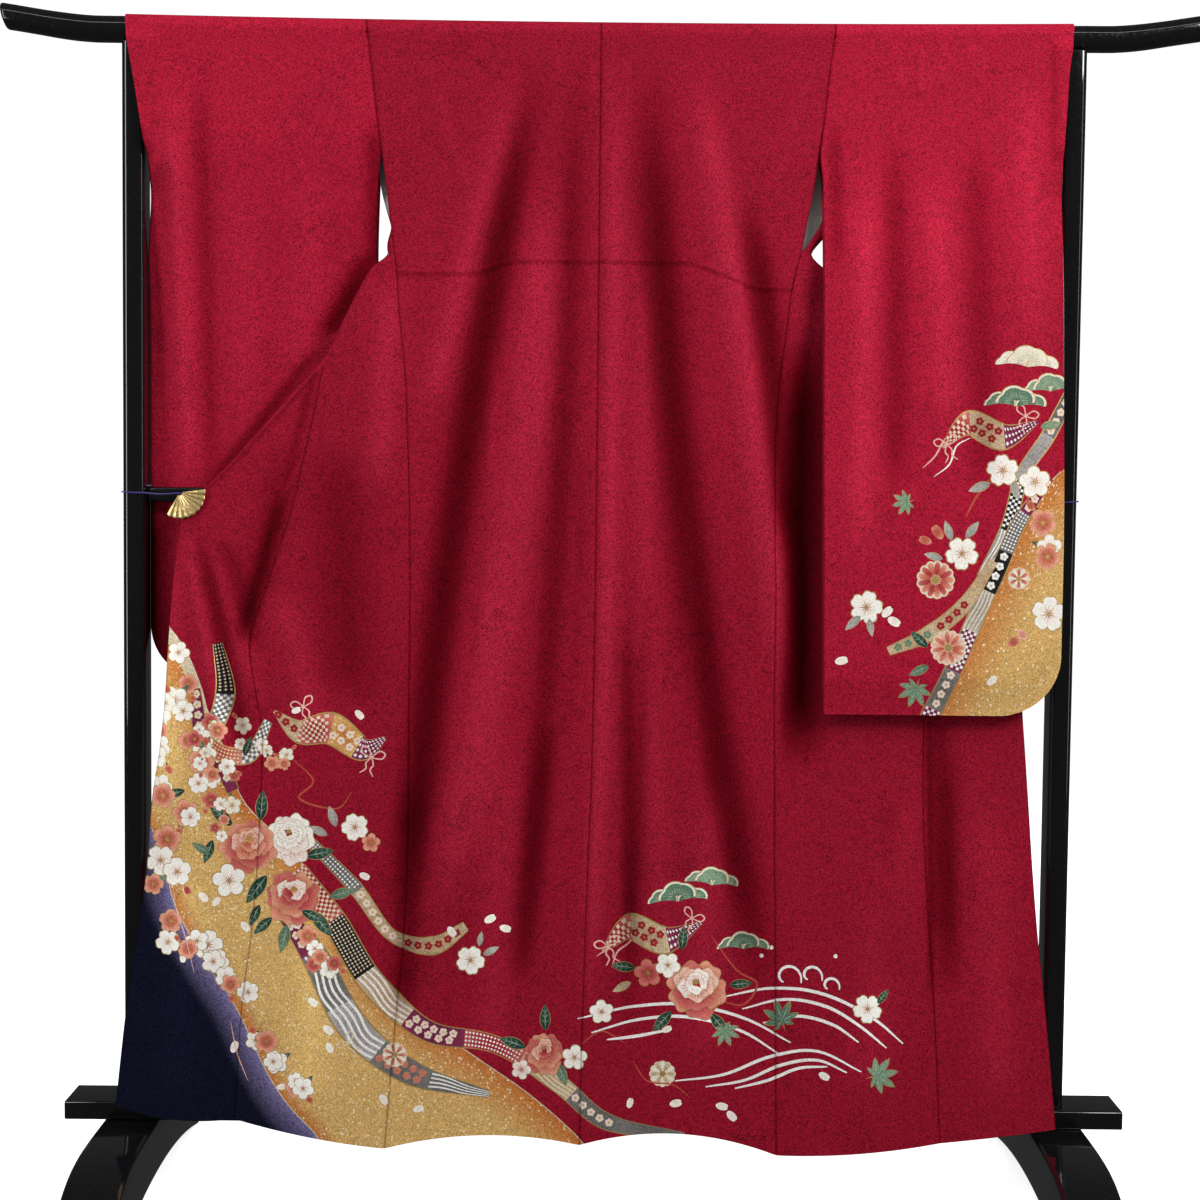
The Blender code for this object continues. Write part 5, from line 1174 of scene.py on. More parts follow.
    # the group on the right of the back: boughs, flowers and a stream
    art.shift = np.array([0.006, -0.03])
    for path in (
        ((-0.03, 0.3), (0.05, 0.318), (0.13, 0.322), (0.21, 0.302), (0.275, 0.268)),
        ((-0.01, 0.28), (0.06, 0.3), (0.135, 0.304), (0.205, 0.284), (0.258, 0.252)),
        ((0.18, 0.334), (0.25, 0.346), (0.32, 0.338), (0.39, 0.306), (0.436, 0.268)),
        ((0.205, 0.316), (0.265, 0.33), (0.325, 0.32), (0.375, 0.292), (0.412, 0.262)),
        ((0.235, 0.296), (0.285, 0.306), (0.335, 0.294), (0.372, 0.27)),
        ((0.11, 0.212), (0.18, 0.222), (0.246, 0.248), (0.312, 0.256), (0.376, 0.228)),
        ((0.154, 0.204), (0.21, 0.214), (0.262, 0.236), (0.313, 0.243), (0.356, 0.226)),
        ((0.196, 0.202), (0.243, 0.214), (0.286, 0.231), (0.328, 0.234)),
        ((0.012, 0.27), (0.056, 0.276), (0.104, 0.286))):
        art.stroke(path, 0.0046, SNOW, 0.8, 30)
    for x, z, size in ((0.268, 0.362, 0.021), (0.302, 0.364, 0.017), (0.33, 0.35, 0.014)):
        t = np.linspace(-0.4, 4.2, 12)
        art.stroke(polar(t, size * np.exp(-0.22 * t)) + (x, z), 0.004, SNOW, 0.7, 26)
    art.each(art.dot, (0.232, 0.392), (0.246, 0.404), (0.338, 0.392), radius=0.003, ink=SNOW, corners=10)
    art.each(
        art.pine, (0.112, 0.47, 0.078, PINE, 0.12), (0.16, 0.494, 0.07, GREEN, -0.1),
        (0.206, 0.402, 0.068, PINE, 0.0))
    art.each(
        art.stroke, ([(0.052, 0.436), (0.024, 0.428), (0.014, 0.404), (-0.004, 0.39)], 0.0028, BLUSH),
        ([(0.06, 0.43), (0.042, 0.408), (0.026, 0.396), (0.018, 0.374)], 0.0026, BLUSH),
        ([(0.16, 0.42), (0.196, 0.372), (0.226, 0.352), (0.206, 0.322), (0.168, 0.33)], 0.003, CORAL))
    art.ribbon(
        [(0.004, 0.396), (0.044, 0.43), (0.094, 0.414), (0.146, 0.44)], (0.004, 0.038, 0.04, 0.004),
        [(CHECK, ROSE, IVORY), (BLOSSOMS, TAN, ROSE), (SPOTS, PLUM, SNOW)])
    art.each(art.bow, (0.012, 0.404, 0.018, 0.3, BLUSH), (0.132, 0.446, 0.016, -0.5, BLUSH))
    art.each(
        art.leaf, (0.052, 0.372, 0.036, 3.0), (0.118, 0.4, 0.034, 1.5), (0.104, 0.312, 0.04, -2.3),
        (0.16, 0.31, 0.04, -0.9), (0.186, 0.35, 0.034, 0.1), ink=DEEP_GREEN)
    art.blossom(0.07, 0.366, 0.019, ROSE, 0.5)
    art.peony(0.138, 0.348, 0.044, (CORAL, ROSE, PEACH, BLUSH, WHITE), 0.7)
    art.blossom(0.098, 0.378, 0.018, WHITE, 1.0)
    art.leaf(0.046, 0.352, 0.03, 3.6, TAN)
    art.each(
        art.maple, (0.18, 0.286, 0.024, -1.2, GREEN), (0.262, 0.3, 0.03, 1.9, PINE),
        (0.398, 0.222, 0.031, 0.2, GREEN))
    art.blossom(0.384, 0.318, 0.021, WHITE, 0.9, 0.1)
    art.leaf(0.398, 0.326, 0.026, 0.9, DEEP_GREEN)
    art.blossom(0.004, 0.31, 0.017, WHITE, 0.4)
    art.daisy(0.092, 0.222, 0.018, 12, (TAN, IVORY))
    art.stroke([(0.05, 0.24), (0.07, 0.212), (0.108, 0.206), (0.132, 0.188)], 0.0022, CORAL)
    art.shift = np.zeros(2)
    art.each(
        art.petal, (-0.15, 0.412, 0.019, 0.5), (-0.128, 0.398, 0.018, -0.3), (-0.205, 0.392, 0.018, -0.9),
        (-0.34, 0.7, 0.017, -0.8), (-0.43, 0.706, 0.015, 0.4), (-0.33, 0.47, 0.017, -0.4),
        (-0.3, 0.15, 0.018, -0.9), (-0.25, 0.138, 0.017, 0.3), (-0.38, 0.25, 0.018, -0.7),
        (0.052, 0.15, 0.016, 1.3), (0.118, 0.15, 0.019, 0.2), (0.184, 0.146, 0.019, -0.2),
        (0.198, 0.132, 0.019, -0.8), (0.104, 0.256, 0.016, 0.4), (0.33, 0.19, 0.018, -0.5), ink=WHITE)
    return art


def sleeve_artwork() -> Artwork:
    """The design of the right sleeve: a gold zone at its outer corner, ribbons and scattered flowers."""
    art = Artwork(23)
    shore = through([
        (0.72, 1.085), (0.66, 1.06), (0.622, 1.015), (0.592, 0.965), (0.556, 0.9), (0.528, 0.838),
        (0.5, 0.772), (0.47, 0.7), (0.452, 0.64)], 60)
    corner = [(0.75, 0.6), (0.8, 1.1)]
    art.add(np.vstack([shore - (0.0016, 0.0), corner]), PALE_LINE)
    art.add(np.vstack([shore, corner]), AMBER, lambda p: segment_distance(p, shore) / 0.07)
    art.each(
        art.ribbon,
        (
            [(0.672, 1.175), (0.638, 1.11), (0.6, 1.052), (0.58, 0.978), (0.545, 0.905)],
            (0.016, 0.02, 0.018, 0.02, 0.018),
            [(BLOSSOMS, GREY, WHITE), (PLAIN, SILVER, SNOW), (CHECK, SOOT, SNOW), (RIPPLES, SILVER, SNOW)]),
        (
            [
                (0.64, 1.048), (0.596, 0.985), (0.566, 0.915), (0.536, 0.85), (0.508, 0.782), (0.47, 0.7),
                (0.458, 0.66)],
            (0.012, 0.02, 0.022, 0.024, 0.024, 0.026, 0.026),
            [
                (BLOSSOMS, PLUM, WHITE), (SPOTS, GREY, SNOW), (BLOSSOMS, SOOT, SNOW), (RIPPLES, SILVER, IVORY),
                (CHECK, PLUM, SNOW), (BLOSSOMS, GREY, WHITE), (CHECK, PLUM, SNOW)]),
        (
            [(0.56, 0.93), (0.52, 0.868), (0.47, 0.826), (0.412, 0.8)], (0.012, 0.02, 0.022, 0.012),
            [(PLAIN, TAN, TAN), (BLOSSOMS, TAN, ROSE), (BLOSSOMS, TAN, GREEN)]))
    art.each(
        art.stroke, ([(0.52, 1.112), (0.492, 1.104), (0.476, 1.078), (0.458, 1.06)], 0.0026, BLUSH),
        ([(0.526, 1.104), (0.506, 1.092), (0.496, 1.066), (0.474, 1.048)], 0.0024, SNOW),
        ([(0.566, 1.06), (0.536, 1.022), (0.52, 0.992)], 0.0036, CORAL))
    art.ribbon(
        [(0.486, 1.09), (0.524, 1.124), (0.572, 1.106), (0.622, 1.128)], (0.004, 0.036, 0.038, 0.004),
        [(CHECK, ROSE, IVORY), (BLOSSOMS, TAN, ROSE), (SPOTS, PLUM, SNOW)])
    art.each(art.bow, (0.492, 1.094, 0.017, 0.3, BLUSH), (0.604, 1.136, 0.017, -0.4, BLUSH))
    art.each(
        art.pine, (0.606, 1.206, 0.082, IVORY, -0.05), (0.64, 1.172, 0.07, GREEN, 0.08),
        (0.59, 1.15, 0.08, PINE, 0.0))
    art.each(
        art.leaf, (0.555, 1.04, 0.034, 3.5, SILVER), (0.585, 1.046, 0.03, 5.0, SILVER),
        (0.625, 1.12, 0.032, 0.2, GREEN), (0.5, 0.958, 0.03, 1.9, SILVER), (0.52, 0.962, 0.03, 0.9, SILVER),
        (0.488, 0.932, 0.028, 2.9, SILVER), (0.468, 0.806, 0.034, 2.4, DEEP_GREEN),
        (0.47, 0.78, 0.032, 3.6, PINE))
    art.garland([(0.612, 1.04), (0.636, 0.99), (0.628, 0.93)], 4, 0.01, (0.018, 0.024), (WHITE, CORAL))
    art.each(
        art.blossom, (0.572, 1.058, 0.023, WHITE, 0.4, 0.1), (0.515, 0.94, 0.024, WHITE, 0.9, 0.1),
        (0.64, 0.855, 0.026, WHITE, 0.2, 0.1))
    art.each(
        art.daisy, (0.478, 0.902, 0.026, 13, (CORAL, ROSE)), (0.497, 0.806, 0.024, 15, (CORAL, PEACH)),
        (0.596, 0.905, 0.015, 12, (IVORY, CORAL)))
    art.each(
        art.petal, (0.48, 0.97, 0.024, 2.2, CORAL), (0.462, 0.958, 0.02, 2.8, CORAL),
        (0.59, 0.815, 0.02, 0.7, CORAL), (0.602, 0.826, 0.018, 2.2, PEACH))
    art.each(art.maple, (0.436, 1.012, 0.021, 3.4, GREEN), (0.452, 0.748, 0.028, -1.9, GREEN))
    art.blossom(0.38, 0.862, 0.024, WHITE, 1.3, 0.1)
    art.each(art.leaf, (0.372, 0.85, 0.03, 3.9, SILVER), (0.384, 0.846, 0.026, 4.9, SILVER))
    art.each(
        art.petal, (0.41, 0.856, 0.02, 0.8), (0.42, 0.842, 0.021, -0.5), (0.346, 0.786, 0.02, 0.2),
        (0.56, 0.76, 0.018, 0.8), ink=WHITE)
    return art


# Cutting the cloth


def paint(mesh: bpy.types.Mesh, dye: Array, work: Array, cut: Array) -> None:
    """Keep the dye (on the panels with painted light and shade multiplied in), how it is worked and the place on
    the bolt of cloth on every corner of a mesh's faces.
    """
    for label, values in (("dye", np.hstack([dye, np.ones((len(dye), 1))])), ("work", work)):
        layer = mesh.color_attributes.new(label, "FLOAT_COLOR", "CORNER")
        layer.data.foreach_set("color", values.astype(np.float32).ravel())
    mesh.uv_layers.new(name="cut").data.foreach_set("uv", cut.astype(np.float32).ravel())


class Shell:
    """A closed cloth shell in the making: its faces and what each face corner carries."""

    def __init__(self) -> None:
        """Start without faces."""
        self.parts: List[Tuple[Array, ...]] = []

    def add(self, faces: Array, dye: Array, work: Array, normal: Array, cut: Array, lined: bool) -> None:
        """Add triangles; dye, work, normal and cut are given for each corner of each face."""
        corners = np.ones((len(faces), 3, 1))
        self.parts.append((faces, dye * corners, work * corners, normal, cut, np.full(len(faces), int(lined))))

    def piece(self, name: str, points: Array, shift: Sequence[float]) -> bpy.types.Object:
        """Make the mesh, with its colours, its place on the bolt of cloth and its smooth normals."""
        faces, dye, work, normal, cut, lined = (np.concatenate(values) for values in zip(*self.parts))
        piece = new_piece(name, points, faces)
        paint(piece.data, dye.reshape(-1, 3), work.reshape(-1, 4), cut.reshape(-1, 2) + shift)
        piece.data.polygons.foreach_set("material_index", lined.astype(np.int32))
        piece.data.normals_split_custom_set(normal.reshape(-1, 3).tolist())
        piece.data.update()
        return piece


PLAIN_WORK = np.array([0.0, 0.0, 0.0, 1.0])  # neither leaf nor flakes, and not raised
# The lining's ivory silk, painted a darker grey: partly its own colour, partly painted shade for the inside of
# the garment
LINING = np.array([0.5, 0.47, 0.44])
FACING = np.array([0.33, 0.006, 0.018])
FACING_TOP = 0.46
SLEEVE_FACING = 0.014  # the outer silk is turned in along a sleeve's free edge


class Cutter:
    """Cuts a panel and its design into one closed shell of triangles."""

    def __init__(self, artworks: Dict[str, Artwork]) -> None:
        """Keep the layouts by the name that the panels call them by."""
        self.artworks = artworks

    def laid_shapes(self, panel: Panel) -> List[Tuple[Shape, Array]]:
        """Shapes of the panel's layout that reach it, with their outlines on its flat cut."""
        art = self.artworks.get(panel.art)
        if art is None:
            return []
        every = np.vstack([shape.outline for shape in art.shapes])
        flat = np.stack(panel.lay(every[:, 0], every[:, 1]), -1)
        laid = np.split(flat, np.cumsum([len(shape.outline) for shape in art.shapes])[:-1])
        lowest, highest = (0.0, panel.low), (panel.width, panel.top)
        return [
            (shape, self.wound(flat))
            for shape, flat in zip(art.shapes, laid)
            if np.isfinite(flat).all() and (flat.max(0) > lowest).all() and (flat.min(0) < highest).all()
        ]

    def wound(self, flat: Array) -> Array:
        """An outline in anticlockwise order, told by the sign of its area."""
        area = (flat[:, 0] * np.roll(flat[:, 1], -1) - flat[:, 1] * np.roll(flat[:, 0], -1)).sum()
        return flat if area > 0.0 else flat[::-1]

    def triangulate(self, panel: Panel, outlines: Sequence[Array]) -> Tuple[Array, Array, Array]:
        """Triangulate the cut with all outlines on it.

        Args:
            panel: the piece.
            outlines: closed outlines on its flat cut, lowest first.

        Returns:
            Flat points, triangles, and for each triangle the number of its topmost outline, or 0 for none.
        """
        a, v = np.meshgrid(panel.columns(), panel.rows())
        verts = np.vstack([np.stack([a.ravel(), v.ravel()], -1), *outlines])
        ends = np.cumsum([a.size, *map(len, outlines)]).tolist()
        faces = [grid_rim(*a.shape).tolist()] + [list(range(i, j)) for i, j in zip(ends[:-1], ends[1:])]
        found = delaunay_2d_cdt(vectors(verts), [], faces, 1, 1e-7, True)
        top = np.array([max(owners) if 0 in owners else -1 for owners in found[5]])
        points = np.array([tuple(p) for p in found[0]])
        used, renumbered = np.unique(np.array(found[2], int)[top >= 0], return_inverse=True)
        return points[used], renumbered.reshape(-1, 3), top[top >= 0]

    def rim_order(self, panel: Panel, flat: Array) -> Array:
        """Numbers of the points on the cut's edge, in order round it, by their place on its perimeter."""
        width, low, top, near = panel.width, panel.low, panel.top, 2e-7
        a, v = flat[:, 0], flat[:, 1]
        place = np.full(len(flat), np.inf)
        place = np.where(a < near, 2 * width + (top - low) + (top - v), place)
        place = np.where(v > top - near, width + (top - low) + (width - a), place)
        place = np.where(a > width - near, width + (v - low), place)
        place = np.where(v < low + near, a, place)
        found = np.flatnonzero(np.isfinite(place))
        return found[np.argsort(place[found])]

    def dyes(self, art: str, laid: List[Tuple[Shape, Array]], owner: Array, seen: Array) -> Tuple[Array, Array]:
        """Colour and working of every face corner: each shape's own fade between its heart and its rim."""
        # the plain ground is the crimson dye times its painted light: darker on the body, lighter on the sleeves
        colour = np.tile(np.array(CRIMSON.heart) * GROUND_PAINTED_LIGHT[art], (len(owner), 3, 1))
        work = np.tile(PLAIN_WORK, (len(owner), 3, 1))
        for number in np.unique(owner[owner > 0]):
            shape, faces = laid[number - 1][0], np.flatnonzero(owner == number)
            ink, q = shape.ink, np.zeros(len(faces) * 3)
            heart, rim = np.array(ink.heart), np.array(ink.rim or ink.heart)
            if shape.fade is not None:
                q = np.clip(shape.fade(seen[faces].reshape(-1, 2)), 0.0, 1.0) ** ink.power
            colour[faces] = (heart + (rim - heart) * q[:, None]).reshape(-1, 3, 3)
            work[faces, :, :3] = (ink.leaf, ink.flake, ink.raised)
        return colour, work

    def cut(self, panel: Panel) -> bpy.types.Object:
        """Cut one panel: its dyed outer sheet, its lining a cloth's thickness inside, and their common edge."""
        laid = self.laid_shapes(panel)
        flat, faces, owner = self.triangulate(panel, [outline for _, outline in laid])
        outer, normal, way = panel.surface(*flat.T), panel.normal(*flat.T), int(panel.outward)
        faces = faces[:, ::way]
        dye, work = self.dyes(panel.art, laid, owner, outer[faces][..., [0, 2]])
        # painted light: the dye is multiplied by painted shade in fold valleys, under the tuck and in cast
        # shadows, and by painted highlight on ridges
        tone = panel.tone(*flat.T, outer)[faces][..., None]
        ground = (owner == 0)[:, None, None]
        # on the plain ground the painted shade takes green and blue down faster, so shaded crimson stays a deep
        # red
        green, blue = np.where(ground, 2.0, 1.2), np.where(ground, 1.5, 1.2)
        dye = dye * np.concatenate([tone, tone**green, tone**blue], -1)
        shell = Shell()
        shell.add(faces, dye, work, normal[faces], flat[faces], False)

        rim, heights = self.rim_order(panel, flat), panel.rows()[1:-1:2]
        if panel.low < FACING_TOP:
            heights[np.argmin(np.abs(heights - FACING_TOP))] = FACING_TOP
        a, v = np.meshgrid(panel.columns()[4:-4:2], heights)
        verts = np.vstack([flat[rim], np.stack([a.ravel(), v.ravel()], -1)])
        found = delaunay_2d_cdt(vectors(verts), [], [list(range(len(rim)))], 1, 1e-9, True)
        back, inside = np.array([tuple(p) for p in found[0]]), np.array(found[2], int)[:, ::-way]
        inner_normal = panel.normal(*back.T)
        across, along = back[inside].mean(1).T
        low = (along < FACING_TOP) if panel.art == "body" else (across < SLEEVE_FACING)
        cloth = np.where(low[:, None, None], FACING, LINING)
        shell.add(inside + len(outer), cloth, PLAIN_WORK, -inner_normal[inside], back[inside], True)

        place = np.zeros(len(verts), int)
        place[np.array([sources[0] for sources in found[3]])] = np.arange(len(back))
        under = place[: len(rim)] + len(outer)
        after, after_under = np.roll(rim, -1), np.roll(under, -1)
        edge = np.concatenate([np.stack(p, -1) for p in ((rim, under, after), (after, under, after_under))])
        edge = edge[:, ::way]
        points = np.vstack([outer, panel.surface(*back.T) - inner_normal * CLOTH])
        places, corners = np.vstack([flat, back])[edge], points[edge]
        facing = unit(np.cross(corners[:, 1] - corners[:, 0], corners[:, 2] - corners[:, 0]))
        hem = (places[..., 1].mean(1) < panel.low + 0.004) & (panel.art == "body")
        cloth = np.where(hem[:, None, None], FACING, CRIMSON.heart)
        shell.add(edge, cloth, PLAIN_WORK, np.repeat(facing[:, None], 3, 1), places, False)
        return shell.piece(panel.name, points, panel.shift)


# Finishes


class NodeBuilder:
    """Adds and joins nodes in the tree of one material or world."""

    def __init__(self, owner: bpy.types.ID, shader: str = "Principled BSDF") -> None:
        """Take the owner's tree and its shader."""
        owner.use_nodes = True
        self.owner, self.tree = owner, owner.node_tree
        self.shader = self.tree.nodes[shader]

    @classmethod
    def material(cls, name: str) -> "NodeBuilder":
        """Start a new material."""
        return cls(bpy.data.materials.new(name))

    def plug(self, value: object, socket: Socket) -> None:
        """Join a socket to another one, or set it to a number or a colour."""
        if isinstance(value, Socket):
            self.tree.links.new(value, socket)
        else:
            socket.default_value = (*value, 1.0) if isinstance(value, tuple) else value

    def set(self, **values: object) -> None:
        """Join or set the shader's own sockets."""
        for key, value in values.items():
            self.plug(value, self.shader.inputs[key.replace("_", " ")])

    def add(self, kind: str, **values: object) -> bpy.types.Node:
        """Add a node; names with a capital join or set its inputs and the others set its properties."""
        node = self.tree.nodes.new(kind)
        for key, value in values.items():
            if key[0].isupper():
                self.plug(value, node.inputs[key.replace("_", " ")])
            else:
                setattr(node, key, value)
        return node

    def kept(self, name: str) -> Socket:
        """A colour kept on the corners of the mesh."""
        return self.add("ShaderNodeAttribute", attribute_name=name).outputs["Color"]

    @property
    def cut(self) -> Socket:
        """Place on the bolt of cloth."""
        return self.add("ShaderNodeUVMap", uv_map="cut").outputs[0]

    @property
    def place(self) -> Socket:
        """Place in the object's own space."""
        return self.add("ShaderNodeTexCoord").outputs["Object"]

    def math(self, kind: str, first: object, second: object, clamp: bool = False) -> Socket:
        """Result of a Math node on sockets or numbers."""
        node = self.add("ShaderNodeMath", operation=kind, use_clamp=clamp)
        self.plug(first, node.inputs[0])
        self.plug(second, node.inputs[1])
        return node.outputs[0]

    def times(self, first: object, *others: object) -> Socket:
        """Product of sockets and numbers."""
        for other in others:
            first = self.math("MULTIPLY", first, other)
        return first

    def ranged(self, value: Socket, a: float, b: float, c: float, d: float) -> Socket:
        """Result of a Map Range node from a..b to c..d, held to its ends."""
        return self.add("ShaderNodeMapRange", Value=value, From_Min=a, From_Max=b, To_Min=c, To_Max=d).outputs[0]

    def mixed(self, factor: object, first: object, second: object, kind: str = "MIX") -> Socket:
        """Result of mixing two colours."""
        node = self.add("ShaderNodeMix", data_type="RGBA", blend_type=kind)
        for number, value in ((0, factor), (6, first), (7, second)):
            self.plug(value, node.inputs[number])
        return node.outputs[2]

    def between(self, factor: object, first: object, second: object) -> Socket:
        """Result of mixing two numbers."""
        node = self.add("ShaderNodeMix", data_type="FLOAT")
        for number, value in ((0, factor), (2, first), (3, second)):
            self.plug(value, node.inputs[number])
        return node.outputs[0]

    def split(self, colour: Socket) -> Sequence[Socket]:
        """The three parts of a colour."""
        node = self.add("ShaderNodeSeparateColor")
        self.plug(colour, node.inputs[0])
        return node.outputs[0], node.outputs[1], node.outputs[2]

    def shaded(self, dye: Socket, shade: Socket) -> Socket:
        """A colour times a number."""
        tone = self.add("ShaderNodeCombineColor", Red=shade, Green=shade, Blue=shade)
        return self.mixed(1.0, dye, tone.outputs[0], "MULTIPLY")

    def noise(self, vector: Socket, scale: float, detail: float, warp: float = 0.0) -> Socket:
        """A Noise node on a vector."""
        node = self.add("ShaderNodeTexNoise", Vector=vector, Scale=scale, Detail=detail, Distortion=warp)
        return node.outputs["Fac"]

    def scaled(self, vector: Socket, scale: Colour) -> Socket:
        """A vector stretched along its axes."""
        node = self.add("ShaderNodeMapping", Vector=vector)
        node.inputs["Scale"].default_value = scale
        return node.outputs[0]

    def bump(self, *parts: Tuple[Socket, float]) -> None:
        """Chain Bump nodes, each with its height in metres, into the shader."""
        last = None
        for height, distance in parts:
            node = self.add("ShaderNodeBump", Height=height, Strength=1.0, Distance=distance)
            if last is not None:
                self.plug(last, node.inputs["Normal"])
            last = node.outputs[0]
        self.set(Normal=last)


@dataclass(frozen=True)
class SilkFinish:
    """Figured satin crepe with dyes (with painted fold shade and highlights in them), leaf and flakes read from
    the cloth's own corners.
    """

    grain: float = 500.0
    figure: float = 34.0
    roughness: float = 0.6

    def build(self) -> Material:
        """Make the material: grain and woven figure shade the dye, and leaf and flakes turn it to metal."""
        n = NodeBuilder.material("crimson_figured_silk")
        cut, place = n.cut, n.place
        leaf, flake, raised = n.split(n.kept("work"))
        grain, fine = n.noise(place, self.grain, 2.0, 0.9), n.noise(place, self.grain * 3.1, 1.0)
        figure, patch = n.noise(place, self.figure, 5.0, 1.4), n.noise(place, 7.0, 3.0, 0.6)
        woven = n.times(n.ranged(figure, 0.5, 0.6, 0.0, 1.0), n.ranged(patch, 0.44, 0.62, 0.15, 1.0))
        depth = n.ranged(woven, 0.0, 1.0, 0.52, 0.4)
        pressed = n.times(n.ranged(grain, 0.38, 0.6, 0.0, 1.0), n.math("SUBTRACT", 1.28, depth))
        worn = n.ranged(n.noise(cut, 2.6, 2.0), 0.3, 0.7, 0.94, 1.05)
        shade = n.times(n.math("ADD", depth, pressed), n.ranged(fine, 0.3, 0.7, 0.93, 1.06),
                        n.ranged(woven, 0.0, 1.0, 1.01, 0.94), worn)
        # the kept dye already holds the painted light and shade of the folds
        colour = n.shaded(n.kept("dye"), n.between(n.times(raised, 0.75), shade, 1.0))
        cells = n.add("ShaderNodeTexVoronoi", Vector=cut, Scale=250.0, Randomness=1.0)
        red, green, blue = n.split(cells.outputs["Color"])
        small = n.math("LESS_THAN", cells.outputs["Distance"], n.ranged(blue, 0.0, 1.0, 0.12, 0.48))
        bright = n.ranged(green, 0.0, 1.0, 0.25, 1.0)
        strength = n.times(n.math("GREATER_THAN", red, 0.58), small, flake, bright)
        metal = n.math("MAXIMUM", n.times(leaf, 0.8), n.times(strength, 0.3))
        dull = n.ranged(woven, 0.0, 1.0, self.roughness, self.roughness - 0.1)
        n.set(Base_Color=n.mixed(strength, colour, (1.0, 0.88, 0.58)), Metallic=metal,
              Roughness=n.math("SUBTRACT", dull, n.times(metal, 0.2)), Specular_IOR_Level=0.02)
        soft = n.noise(n.scaled(cut, (1.0, 0.45, 1.0)), 18.0, 3.0, 0.4)
        plain = n.math("SUBTRACT", 1.0, raised, clamp=True)
        crepe = n.times(grain, n.math("ADD", n.times(plain, 0.7), 0.3))
        n.bump((soft, 0.0008), (woven, 0.00012), (crepe, 0.00055), (raised, 0.0001))
        return n.owner


@dataclass(frozen=True)
class LiningFinish:
    """Plain-woven lining silk, ivory (painted a darker grey, as painted shade) above and crimson in the hem's
    facing.
    """

    thread: float = 130.0

    def build(self) -> Material:
        """Make the material: two crossed waves for the threads, and a slow noise for the tone."""
        n = NodeBuilder.material("plain_lining_silk")
        cut = n.cut
        threads = n.times(*(
            n.add("ShaderNodeTexWave", wave_type="BANDS", bands_direction=way, Vector=cut, Scale=self.thread,
                  Distortion=0.3).outputs["Fac"]
            for way in ("X", "Y")
        ))
        slow = n.noise(cut, 9.0, 3.0)
        shade = n.times(n.ranged(threads, 0.0, 1.0, 0.9, 1.04), n.ranged(slow, 0.3, 0.7, 0.94, 1.04))
        n.set(Base_Color=n.shaded(n.kept("dye"), shade), Roughness=n.ranged(slow, 0.3, 0.7, 0.5, 0.62),
              Sheen_Weight=0.2, Specular_IOR_Level=0.35)
        n.bump((slow, 0.0016), (threads, 0.00006))
        return n.owner


@dataclass(frozen=True)
class LacquerFinish:
    """Black gloss lacquer over wood, with the brush's faint ripple, rubbed streaks and dusty patches."""

    colour: Colour = (0.0045, 0.0045, 0.005)
    dusty: Colour = (0.016, 0.016, 0.017)

    def build(self) -> Material:
        """Make the material: a dark coat whose roughness and ripple follow two noises."""
        n = NodeBuilder.material("black_gloss_lacquer")
        place = n.place
        ripple, dust = n.noise(place, 14.0, 2.0), n.noise(place, 160.0, 4.0)
        scuff = n.noise(n.scaled(place, (1.0, 1.0, 0.12)), 240.0, 2.0)
        rough = n.math("ADD", n.ranged(dust, 0.35, 0.75, 0.07, 0.15), n.ranged(scuff, 0.6, 0.8, 0.0, 0.1))
        n.set(Base_Color=n.mixed(n.ranged(dust, 0.55, 0.8, 0.0, 0.5), self.colour, self.dusty), Roughness=rough,
              Specular_IOR_Level=0.55, Coat_Weight=0.6, Coat_Roughness=0.05)
        n.bump((ripple, 0.0007), (dust, 0.00002))
        return n.owner


@dataclass(frozen=True)
class GoldFinish:
    """Gold-coloured metal, polished in patches and darker where it is worn."""

    worn: Colour = (0.7, 0.46, 0.15)
    polished: Colour = (0.95, 0.76, 0.38)

    def build(self) -> Material:
        """Make the material: a noise wears the polish and roughs up the metal."""
        n = NodeBuilder.material("gold_clip_metal")
        wear = n.noise(n.place, 420.0, 4.0)
        n.set(Base_Color=n.mixed(n.ranged(wear, 0.4, 0.62, 0.0, 1.0), self.worn, self.polished), Metallic=0.75,
              Roughness=n.ranged(wear, 0.3, 0.7, 0.42, 0.3))
        n.bump((wear, 0.00006))
        return n.owner


@dataclass(frozen=True)
class CordFinish:
    """Twisted violet cord."""

    deep: Colour = (0.014, 0.009, 0.14)
    light: Colour = (0.05, 0.028, 0.32)

    def build(self) -> Material:
        """Make the material: a fine noise gives fibres in the dye and the relief."""
        n = NodeBuilder.material("violet_twisted_cord")
        fibre = n.noise(n.place, 2200.0, 2.0)
        n.set(Base_Color=n.mixed(n.ranged(fibre, 0.3, 0.7, 0.0, 1.0), self.deep, self.light),
              Roughness=n.ranged(fibre, 0.3, 0.7, 0.62, 0.8), Sheen_Weight=0.4)
        n.bump((fibre, 0.00012))
        return n.owner


# The sub-assemblies


class Slot(Enum):
    """The record's material slots."""

    SILK = "crimson_silk"
    LACQUER = "black_lacquer"
    GOLD = "gold_clip"
    CORD = "violet_cord"


def dress(piece: bpy.types.Object, slot: Slot, nodes: Sequence[str], *finishes: Material) -> None:
    """Give a finished piece its materials, its body and the nodes that it stands for."""
    for finish in finishes:
        piece.data.materials.append(finish)
    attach(piece, "root")
    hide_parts(*nodes)
    LOG.info("%s: %d faces, for %s", piece.name, len(piece.data.polygons), ", ".join(nodes))


